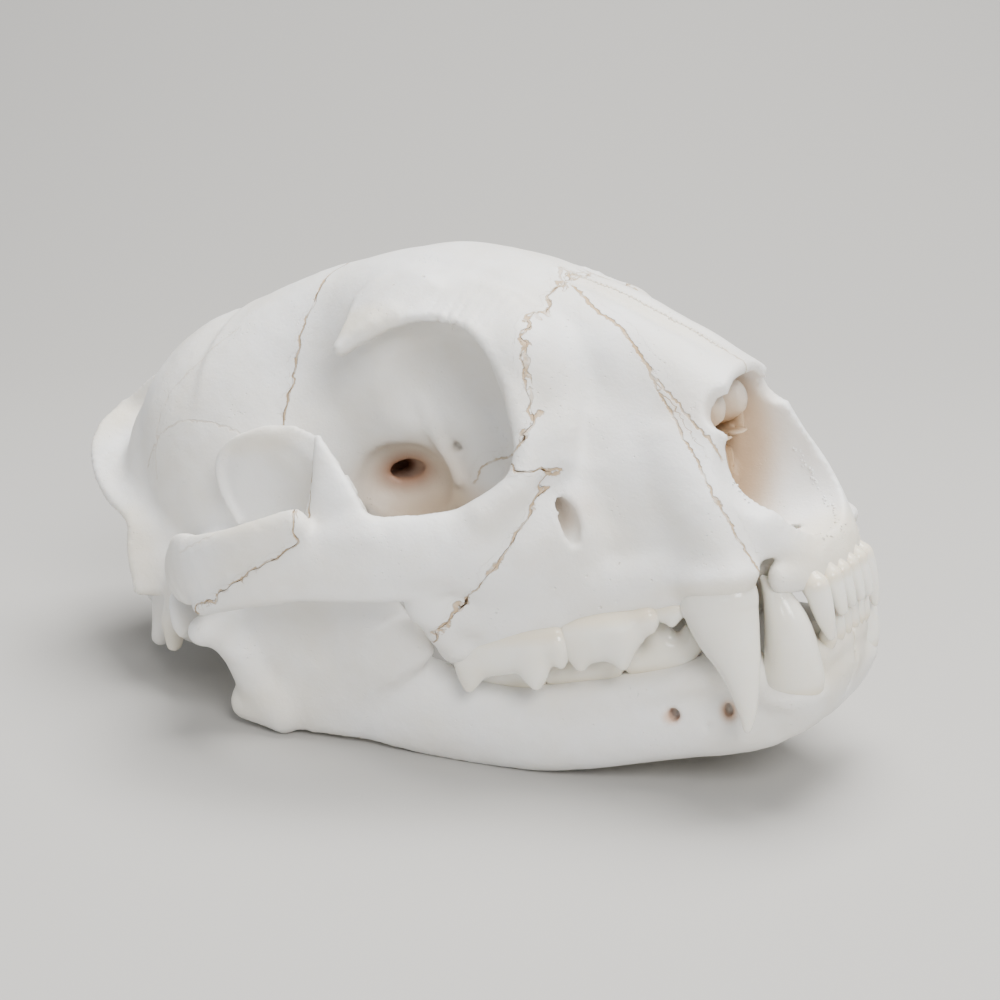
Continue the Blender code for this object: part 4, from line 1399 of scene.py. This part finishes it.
UPPER_TEETH = (
    Tooth("upper_incisor_1", (cone((-2.1, 2.4, -7.6), (-3.1, 2.4, -1), 1.9, 2.05, 1.2),
                              ((-6, 2.5, 3, 1.6, 1.4), (-3.4, 2.4, -0.6, 2, 2))), neck=-1.6),
    Tooth("upper_incisor_2", (cone((-2.3, 7, -7.9), (-3.3, 6.9, -1), 2, 2.2, 1.25),
                              ((-6.2, 6.8, 3, 1.8, 1.6), (-3.6, 6.9, -0.6, 2.2, 2.15))), neck=-1.6),
    Tooth("upper_incisor_3", (cone((-3.3, 12.3, -12), (-4.6, 12.1, -1.5), 2.7, 2.6, 0.9),
                              ((-8, 11.4, 3, 2, 1.8), (-5.2, 12, -1, 2.7, 2.5))), neck=-1.6),
    Tooth("upper_canine", (((-23.4, 20.4, 7, 4, 3), (-21.3, 23.2, 1, 8.3, 5.5),
                            (-20.7, 23.9, -2.5, 8, 5.4), (-19.8, 24.6, -6.5, 7, 5),
                            (-18.5, 25.3, -11, 5.4, 4.1), (-17.8, 25.8, -15, 4.1, 3.3),
                            (-17.5, 26.2, -19, 3, 2.5), (-17.5, 26.6, -23.2, 1.9, 1.7),
                            (-17.9, 26.9, -26, 1.1, 1), (-18.1, 27, -27, 0.6, 0.6)),), blend=0.5,
          neck=2.4, lead=(2.4, 1.2, 0)),
    Tooth("upper_premolar_2", (cone((-31.6, 25.6, -3.9), (-31.6, 25.4, -1), 3, 1.6, 1.1),),
          body=((-29.8, 25.1, -1.4, 1.9, 1.6), (-34, 26, -1.7, 2, 1.7)), neck=-1.6),
    Tooth("upper_premolar_3", (cone((-42.3, 30.2, -11), (-43, 29.9, -4.5), 4.8, 2.8, 1.5),
                               cone((-51.4, 32, -10.6), (-50.6, 31.5, -5.5), 3, 2.5, 1.4),
                               cone((-35.4, 27.9, -4.4), (-36, 27.7, -2), 2.2, 1.9, 1.1)),
          body=((-35.6, 27.6, -2, 2.2, 2), (-42, 29.5, -4.6, 5, 2.8), (-48, 31, -5.2, 5.2, 3),
                (-52.2, 31.8, -5.8, 4.8, 2.7)), blend=1.2, neck=-2.2),
    Tooth("upper_premolar_4", (cone((-60.8, 35.8, -13.2), (-61.2, 34.9, -7), 4.6, 2.8, 1.5),
                               cone((-77.2, 37.2, -13.2), (-75.8, 36.8, -7.5), 3.9, 2.3, 1.3),
                               cone((-54.9, 34, -9.6), (-55.6, 33.7, -6), 2.3, 2.2, 1.1),
                               cone((-57.5, 29.4, -8), (-58, 30.2, -4), 2.5, 2.3, 1)),
          body=((-55, 33.3, -5.4, 3.9, 2.8), (-62, 34.8, -6.2, 4.6, 3), (-70, 36, -6.8, 4.4, 2.7),
                (-77, 36.9, -7.4, 4.6, 2.3)), blend=1.2, neck=-4.2,
          grooves=(((-68.2, 39.4, -3, 0.4, 0.6), (-68.6, 39.2, -11, 0.4, 0.6)),)),
)
LOWER_TEETH = (
    Tooth("lower_incisor_1", (cone((-3.6, 2, -8), (-4.6, 2, -13), 1.5, 1.7, 0.9),
                              ((-6.5, 2.1, -18, 1.4, 1.3), (-4.8, 2, -13, 1.5, 1.6))), blend=0.6,
          neck=-12.5),
    Tooth("lower_incisor_2", (cone((-3.8, 5.5, -8), (-4.8, 5.4, -13), 1.6, 1.8, 0.95),
                              ((-6.8, 5.3, -18, 1.5, 1.4), (-5, 5.4, -13, 1.6, 1.7))), blend=0.6,
          neck=-12.5),
    Tooth("lower_incisor_3", (cone((-4.4, 9.2, -8.2), (-5.4, 9, -13.4), 1.8, 1.9, 1),
                              ((-7.4, 8.8, -18, 1.6, 1.5), (-5.6, 9, -13, 1.8, 1.8))), blend=0.6,
          neck=-12.8),
    Tooth("lower_canine", (((-14, 14, -26, 4, 3.4), (-12.1, 15, -21, 6.4, 4.9),
                            (-11, 15.6, -16, 6.1, 4.8), (-10.6, 15.9, -10, 5.2, 4.2),
                            (-11, 16.1, -5.5, 4.1, 3.5), (-11.8, 16.2, -2.2, 2.9, 2.6),
                            (-13, 16.2, 0.4, 1.7, 1.5), (-14.2, 16.1, 2, 0.7, 0.7)),), blend=0.5,
          neck=-21.4),
    Tooth("lower_premolar_3", (cone((-38.3, 20, -4.7), (-38.6, 19.7, -11.5), 4.3, 2.7, 1.5),
                               cone((-32, 18.6, -7.8), (-32.2, 18.4, -11), 2.4, 2.2, 1.4),
                               cone((-44.6, 21, -9.8), (-44.4, 20.8, -13), 2.7, 2.4, 1.4),
                               ((-38, 19.6, -13, 7.4, 2.2), (-38, 19.6, -19, 6, 1.6))),
          body=((-31.6, 18.4, -10.4, 2.6, 2.2), (-36, 19.2, -11.4, 3, 2.7),
                (-41, 20.2, -12.8, 3.2, 2.8), (-45.4, 21, -13.6, 2.9, 2.4)), blend=1.1, neck=-14.6),
    Tooth("lower_premolar_4", (cone((-55, 23.2, -6), (-55, 22.9, -12), 4.4, 2.7, 1.5),
                               cone((-49.2, 22, -9.4), (-49.4, 21.9, -12.6), 2.4, 2.3, 1.3),
                               cone((-61.8, 24.6, -10), (-61.4, 24.4, -13.4), 2.7, 2.4, 1.3),
                               ((-55, 22.8, -13, 8, 2.2), (-55, 22.8, -19, 6, 1.6))),
          body=((-48.6, 21.9, -12.6, 2.9, 2.3), (-54, 22.9, -13.4, 3.2, 2.8),
                (-60, 24.2, -14.2, 3, 2.7), (-63.6, 24.9, -14.6, 2.6, 2.3)), blend=1.1, neck=-15.6),
    Tooth("lower_molar_1", (cone((-68.6, 25.8, -6.4), (-69, 25.8, -12.5), 4.6, 2.4, 1.2),
                            cone((-76.6, 27.4, -6.6), (-75.8, 27.2, -12.5), 4.2, 2.4, 1.2),
                            ((-72, 26.2, -13, 8.4, 2.2), (-72, 26.2, -19, 6, 1.6))),
          body=((-66, 25.2, -12.8, 3.2, 2.4), (-72, 26.4, -13, 3.4, 2.6),
                (-79, 27.8, -13.2, 3, 2.2)), blend=1.0, neck=-15.0,
          grooves=(((-72.8, 29.4, -5, 0.4, 0.6), (-72.8, 29.4, -13, 0.4, 0.6)),)),
)


@dataclass(frozen=True)
class Suture:
    """A line where two bones have grown together, drawn on the surface.

    Its path is of the left side; one with no side is on the middle plane.
    """

    path: tuple[Row, ...]
    strength: float = 0.7
    half_width: float = 0.16
    middle: bool = False


SUTURES = (
    Suture(((-50.7, 7, 65.8), (-44.4, 10.8, 60.8), (-39.1, 11.3, 56.4), (-35.3, 13, 51.6),
            (-32.8, 14.1, 48.1)), 0.95, 0.24),
    Suture(((-32.8, 14.1, 48.1), (-31.1, 14.8, 45.3), (-27.2, 16, 40.7), (-21.4, 17.8, 34.2),
            (-18, 17.6, 29)), 0.8),
    Suture(((-32.8, 14.1, 48.1), (-30.6, 16, 42.7), (-27, 17.7, 37.7), (-24.3, 19.8, 32.9),
            (-21.4, 21.4, 28.4), (-18.2, 23.4, 22.2), (-14.6, 23.6, 13.7), (-12.4, 22.8, 5)), 0.85),
    Suture(((-52.4, 7.2, 66.8), (-55, 4.4, 68.6), (-57, 1.5, 70)), 0.5),
    Suture(((-57, 0, 70), (-50, 0, 66.5), (-44, 0, 63), (-38, 0, 59), (-33, 0, 55.8),
            (-28, 0, 52.6), (-22, 0, 48.8), (-15.5, 0, 44)), 0.55, 0.14, True),
    Suture(((-81.7, 13, 27.9), (-79, 13.4, 30.4), (-76.3, 13.6, 31.1), (-72, 15.8, 32),
            (-68, 17.8, 33.1)), 0.7),
    Suture(((-136.7, 20.2, 69), (-146, 25.6, 63), (-154.2, 29.3, 56), (-159.8, 32.1, 40)), 0.22),
    Suture(((-124, 24, 30), (-129, 30, 44), (-140, 34, 51), (-153, 32, 50), (-163, 29, 42)), 0.3),
    Suture(((-96, 57.4, 33.6), (-104, 59, 30.4), (-116, 60, 28.6), (-128, 59, 26)), 0.18),
)


def mark_seams(mesh: bpy.types.Mesh, sutures: Sequence[Suture], regions: Sequence[Region]) -> None:
    """Give each vertex its place beside the nearest suture, as the point attribute seam.

    Args:
        mesh: the mesh, still in the skull's own millimetres.
        sutures: lines to draw on the surface.
        regions: blocks whose walls are seams as well.
    """
    points = points_of(mesh)
    normals = np.zeros(3 * len(points), np.float32)
    mesh.vertex_normals.foreach_get("vector", normals)
    normals = normals.reshape(-1, 3).astype(float)
    seam = np.tile(np.array((9.0, 0.0, 0.15)), (len(points), 1))
    tree = surface_tree(mesh)
    for suture in sutures:
        line = smooth_line(suture.path, 12 * len(suture.path))
        sides = (1,) if suture.middle else (1, -1)
        for side in sides:
            places = [tree.find_nearest(Vector((x, y * side, z))) for x, y, z in line]
            if places[0][0] is None or min(place[3] for place in places) > 2.5:
                continue
            path = np.array([place[0] for place in places])
            lay_line(seam, points, normals, path, suture)
    for region in regions:
        levels = [region.level(points[:, 0], points[:, 1], points[:, 2])]
        if not region.both:
            levels.append(region.level(points[:, 0], -points[:, 1], points[:, 2]))
        for level in levels:
            near = (np.abs(level) < 1.6) & (np.abs(level) < np.abs(seam[:, 0]) * (seam[:, 1] > 0)
                                            + 9 * (seam[:, 1] == 0))
            seam[near, 0] = level[near]
            seam[near, 1] = 0.85 * np.clip(1.6 - np.abs(level[near]), 0, 1)
            seam[near, 2] = 0.2
    data = mesh.attributes.new("seam", 'FLOAT_VECTOR', 'POINT')
    data.data.foreach_set("vector", seam.astype(np.float32).ravel())


def lay_line(seam: np.ndarray, points: np.ndarray, normals: np.ndarray, path: np.ndarray,
             suture: Suture) -> None:
    """Write one suture's signed distance and strength beside its path.

    Args:
        seam: distance, strength and half width of each vertex, changed here.
        points: the vertices.
        normals: their normals.
        path: the suture's points on the surface.
        suture: its strength and width.
    """
    reach = 2.6
    near = np.flatnonzero(np.all((points > path.min(0) - reach) & (points < path.max(0) + reach), 1))
    if not len(near):
        return
    best = np.full(len(near), 99.0)
    signed = np.full(len(near), 99.0)
    for start, end in zip(path[:-1], path[1:]):
        run = end - start
        length = np.linalg.norm(run)
        if length < 1e-6:
            continue
        away = points[near] - start
        t = np.clip(away @ run / length ** 2, 0, 1)
        off = away - t[:, None] * run
        far = np.linalg.norm(off, axis=1)
        across = np.einsum('ij,ij->i', off, np.cross(run / length, normals[near]))
        closer = far < best
        best[closer], signed[closer] = far[closer], across[closer]
    ours = (best < reach) & (best < np.abs(seam[near, 0]) + 99 * (seam[near, 1] == 0))
    rows = near[ours]
    seam[rows, 0] = signed[ours]
    seam[rows, 1] = suture.strength * np.clip((reach - best[ours]) / 1.2, 0, 1)
    seam[rows, 2] = suture.half_width


def scatter_group() -> bpy.types.GeometryNodeTree:
    """Geometry Nodes that set a rough grain of bone on every vertex of a mesh.

    Returns:
        A tree with the inputs Size, Least, Seed and Material.
    """
    group = new_group("scatter", 'GeometryNodeTree',
                      {"Geometry": "Geometry", "Size": "Float", "Least": "Float",
                       "Seed": "Int", "Material": "Material"}, {"Geometry": "Geometry"})
    nodes, links = group.nodes, group.links
    source, sink = nodes.new('NodeGroupInput'), nodes.new('NodeGroupOutput')
    grain = nodes.new('GeometryNodeMeshIcoSphere')
    grain.inputs['Subdivisions'].default_value = 2
    links.new(source.outputs['Size'], grain.inputs['Radius'])
    scale = nodes.new('FunctionNodeRandomValue')
    scale.data_type = 'FLOAT_VECTOR'
    links.new(source.outputs['Least'], scale.inputs['Min'])
    scale.inputs['Max'].default_value = (1.0, 1.0, 1.0)
    turn = nodes.new('FunctionNodeRandomValue')
    turn.data_type = 'FLOAT_VECTOR'
    turn.inputs['Max'].default_value = (math.tau, math.tau, math.tau)
    spots = nodes.new('GeometryNodeInstanceOnPoints')
    links.new(source.outputs['Geometry'], spots.inputs['Points'])
    links.new(grain.outputs['Mesh'], spots.inputs['Instance'])
    links.new(scale.outputs['Value'], spots.inputs['Scale'])
    links.new(turn.outputs['Value'], spots.inputs['Rotation'])
    for random in (scale, turn):
        links.new(source.outputs['Seed'], random.inputs['Seed'])
    real, dress = nodes.new('GeometryNodeRealizeInstances'), nodes.new('GeometryNodeSetMaterial')
    links.new(spots.outputs['Instances'], real.inputs['Geometry'])
    links.new(real.outputs['Geometry'], dress.inputs['Geometry'])
    links.new(source.outputs['Material'], dress.inputs['Material'])
    links.new(dress.outputs['Geometry'], sink.inputs['Geometry'])
    return group


@dataclass(frozen=True)
class Grains:
    """Rough grains along lines on the skull, added to it or cut out of it as pits."""

    name: str
    lines: tuple[tuple[Row, ...], ...]
    per_line: int
    size: float
    least: float
    seed: int
    spread: float = 0.3

    def build(self, body: bpy.types.Object, group: bpy.types.GeometryNodeTree,
              material: bpy.types.Material) -> bpy.types.Object:
        """Set the grains on the surface of a body, on both sides.

        Args:
            body: the bone, still in the skull's own millimetres.
            group: the tree of scatter_group.
            material: the grains' finish.

        Returns:
            The grains as one mesh object.
        """
        tree = surface_tree(body.data)
        draw = np.random.default_rng(self.seed)
        spots = []
        for line in self.lines:
            places = smooth_line(line, self.per_line) if len(line) > 1 else np.array(line, float)
            for place in places:
                shifted = place + draw.uniform(-self.spread, self.spread, 3)
                for side in Side:
                    near = tree.find_nearest(Vector(shifted * (1, side.value, 1)))[0]
                    spots.append(tuple(near))
        mesh = bpy.data.meshes.new(self.name)
        mesh.from_pydata(spots, [], [])
        item = plain_object(self.name, mesh)
        change = item.modifiers.new("scatter", 'NODES')
        change.node_group = group
        values = {"Size": self.size, "Least": self.least, "Seed": self.seed, "Material": material}
        for socket in group.interface.items_tree:
            if socket.in_out == 'INPUT' and socket.name in values:
                change[socket.identifier] = values[socket.name]
        settle(item)
        return item


PITS = Grains("pits", (((-39.8, 28.6, 10.2),), ((-46, 31.9, 8.5),), ((-41.4, 30.6, 7.3),),
                       ((-52.6, 34.9, 6.9),), ((-40.6, 30.6, 2.1),), ((-44.5, 32, 1.4),),
                       ((-64.8, 39.9, 3.5),), ((-33, 27, 6),), ((-87, 22, 74),), ((-80, 20, 74),),
                       ((-18, 12, -31),), ((-70, 24, 50),)), 1, 0.5, 0.5, 5)
BEADS = Grains("nasal_seam_beads", (((-54, 0.2, 69), (-46, 0.2, 64), (-38, 0.2, 59), (-30, 0.2, 54),
                                     (-22, 0.2, 49)),), 30, 0.42, 0.5, 7, 0.25)
CRUMBS = Grains("nasal_floor_crumbs", (((-12, 14, 10), (-9, 11, 8.5), (-6, 7, 7), (-5, 2, 6)),
                                       ((-13, 15.4, 13), (-15, 16, 18), (-18, 16.4, 23))),
                22, 0.4, 0.4, 9, 0.7)


def build_cranium(paints: Paintbox) -> None:
    """Shape the skull, part it into its named bones and dress them.

    Args:
        paints: the materials.
    """
    whole = plain_object("snout_bone", Cranium().whole().mesh("snout_bone"))
    soften(whole, 2)
    group = scatter_group()
    for grains in (BEADS, CRUMBS):
        item = grains.build(whole, group, paints.bone)
        paint(item.data, BoneFinish.colour, STAINS_AND_SHADE)
        finish_piece(item, paints.bone, ["snout"])
    boolean(whole, 'DIFFERENCE', PITS.build(whole, group, paints.bone))
    LOG.info("skull shaped: %d faces", len(whole.data.polygons))
    bars = [f"temple_bar_{side.word}" for side in Side]
    walls = {"cheekbone": (CHEEKS, BRAINCASE), "braincase": (BRAINCASE,),
             "forehead": (FOREHEAD, BRAINCASE), "snout": (FOREHEAD, CHEEKS)}
    pieces = [(part_off(whole, BRAINCASE, 1, "braincase_bone"), ["braincase", *bars])]
    for side in Side:
        name = f"{CHEEKS.name}_{side.word}"
        pieces.append((part_off(whole, CHEEKS, side.value, name + "_bone"), [name]))
    pieces.append((part_off(whole, FOREHEAD, 1, "forehead_bone"), ["forehead"]))
    keep_largest(whole)
    pieces.append((whole, ["snout"]))
    for item, nodes in pieces:
        paint(item.data, BoneFinish.colour, STAINS_AND_SHADE)
        mark_seams(item.data, SUTURES, walls[nodes[0].split("_")[0]])
        finish_piece(item, paints.bone, nodes)


def build_jaw(paints: Paintbox) -> None:
    """Shape the two halves of the lower jaw and dress them.

    Args:
        paints: the materials.
    """
    for side in Side:
        node = f"jaw_{side.word}"
        item = plain_object(node + "_bone", Jaw().field(side).mesh(node))
        soften(item, 2)
        keep_largest(item)
        if side is Side.RIGHT:
            item.data.transform(Matrix.Diagonal((1, -1, 1, 1)))
            item.data.flip_normals()
        paint(item.data, BoneFinish.colour, STAINS_AND_SHADE)
        finish_piece(item, paints.bone, [node])


def build_teeth(paints: Paintbox) -> None:
    """Build every tooth on both sides.

    Args:
        paints: the materials.
    """
    for side in Side:
        for teeth, flip, node in ((UPPER_TEETH, 1.0, "snout"), (LOWER_TEETH, -1.0, f"jaw_{side.word}")):
            for tooth in teeth:
                finish_piece(tooth.shape(side, flip), paints.enamel, [node])


@dataclass
class Studio:
    """Camera, floor and lights."""

    camera_place: Row = (155.9, -346.3, 88.5)
    camera_turn: Row = (73.37, 0.0, 32.35)
    lens: float = 66.6
    aim: Row = (0.0, 0.0, 0.05)
    floor_colour: Row = (0.46, 0.45, 0.43, 1.0)

    def build(self) -> None:
        """Set up the whole studio."""
        self.add_camera()
        self.add_floor()
        self.add_light("sky", (0.1, 0.2, 1.0), 0.7, 24.0, (1.0, 0.99, 0.97))
        self.add_light("window", (0.75, -0.65, 0.75), 0.45, 13.0, (1.0, 0.99, 0.97))
        self.add_light("glint", (0.2, -0.95, 0.3), 0.12, 0.8, (1.0, 1.0, 1.0))
        self.add_light("fill", (-0.7, -0.7, 0.4), 0.7, 1.6, (0.9, 0.95, 1.0))
        world = bpy.data.worlds.new("studio")
        bpy.context.scene.world = world
        world.use_nodes = True
        world.node_tree.nodes["Background"].inputs["Color"].default_value = (0.82, 0.88, 1.0, 1)
        world.node_tree.nodes["Background"].inputs["Strength"].default_value = 0.22

    def add_camera(self) -> None:
        """Camera at the photograph's place, with its lens."""
        data = bpy.data.cameras.new("camera")
        data.lens = self.lens
        data.sensor_width = 36.0
        data.clip_start = 0.01
        camera = bpy.data.objects.new("camera", data)
        camera.location = pose() @ Vector(self.camera_place)
        camera.rotation_euler = [math.radians(angle) for angle in self.camera_turn]
        bpy.context.scene.collection.objects.link(camera)
        bpy.context.scene.camera = camera

    def add_floor(self) -> None:
        """A plain pale floor that curves up far behind the skull."""
        size, start, rise, count = 3.0, 0.35, 0.7, 24
        rows = [(-size, 0.0)]
        rows += [(start + rise * math.sin(a), rise - rise * math.cos(a))
                 for a in np.linspace(0, math.pi / 2, count)]
        rows.append((start + rise, size))
        turn = Matrix.Rotation(math.radians(self.camera_turn[2]), 4, 'Z')
        points = [turn @ Vector((x, y, z)) for y, z in rows for x in (-size, size)]
        faces = [(2 * k, 2 * k + 1, 2 * k + 3, 2 * k + 2) for k in range(len(rows) - 1)]
        mesh = bpy.data.meshes.new("floor")
        mesh.from_pydata(points, [], faces)
        mesh.shade_smooth()
        floor = plain_object("floor", mesh)
        material = bpy.data.materials.new("pale_floor")
        material.use_nodes = True
        shader = material.node_tree.nodes["Principled BSDF"]
        shader.inputs["Base Color"].default_value = self.floor_colour
        shader.inputs["Roughness"].default_value = 0.7
        mesh.materials.append(material)

    def add_light(self, name: str, place: Row, size: float, power: float, colour: Row) -> None:
        """One soft area light aimed at the skull.

        Args:
            name: the light's name.
            place: where it hangs, in metres.
            size: length of its sides.
            power: its power in watts.
            colour: its colour.
        """
        data = bpy.data.lights.new(name, 'AREA')
        data.size, data.energy, data.color = size, power, colour
        light = bpy.data.objects.new(name, data)
        light.location = place
        light.rotation_euler = (Vector(self.aim) - Vector(place)).to_track_quat('-Z', 'Y').to_euler()
        bpy.context.scene.collection.objects.link(light)


def main() -> None:
    """Build the skull and its studio, in order."""
    logging.basicConfig(level=logging.INFO, format="%(name)s %(message)s")
    Studio().build()
    paints = Paintbox()
    build_jaw(paints)
    build_teeth(paints)
    build_cranium(paints)


if __name__ == "__main__":
    main()
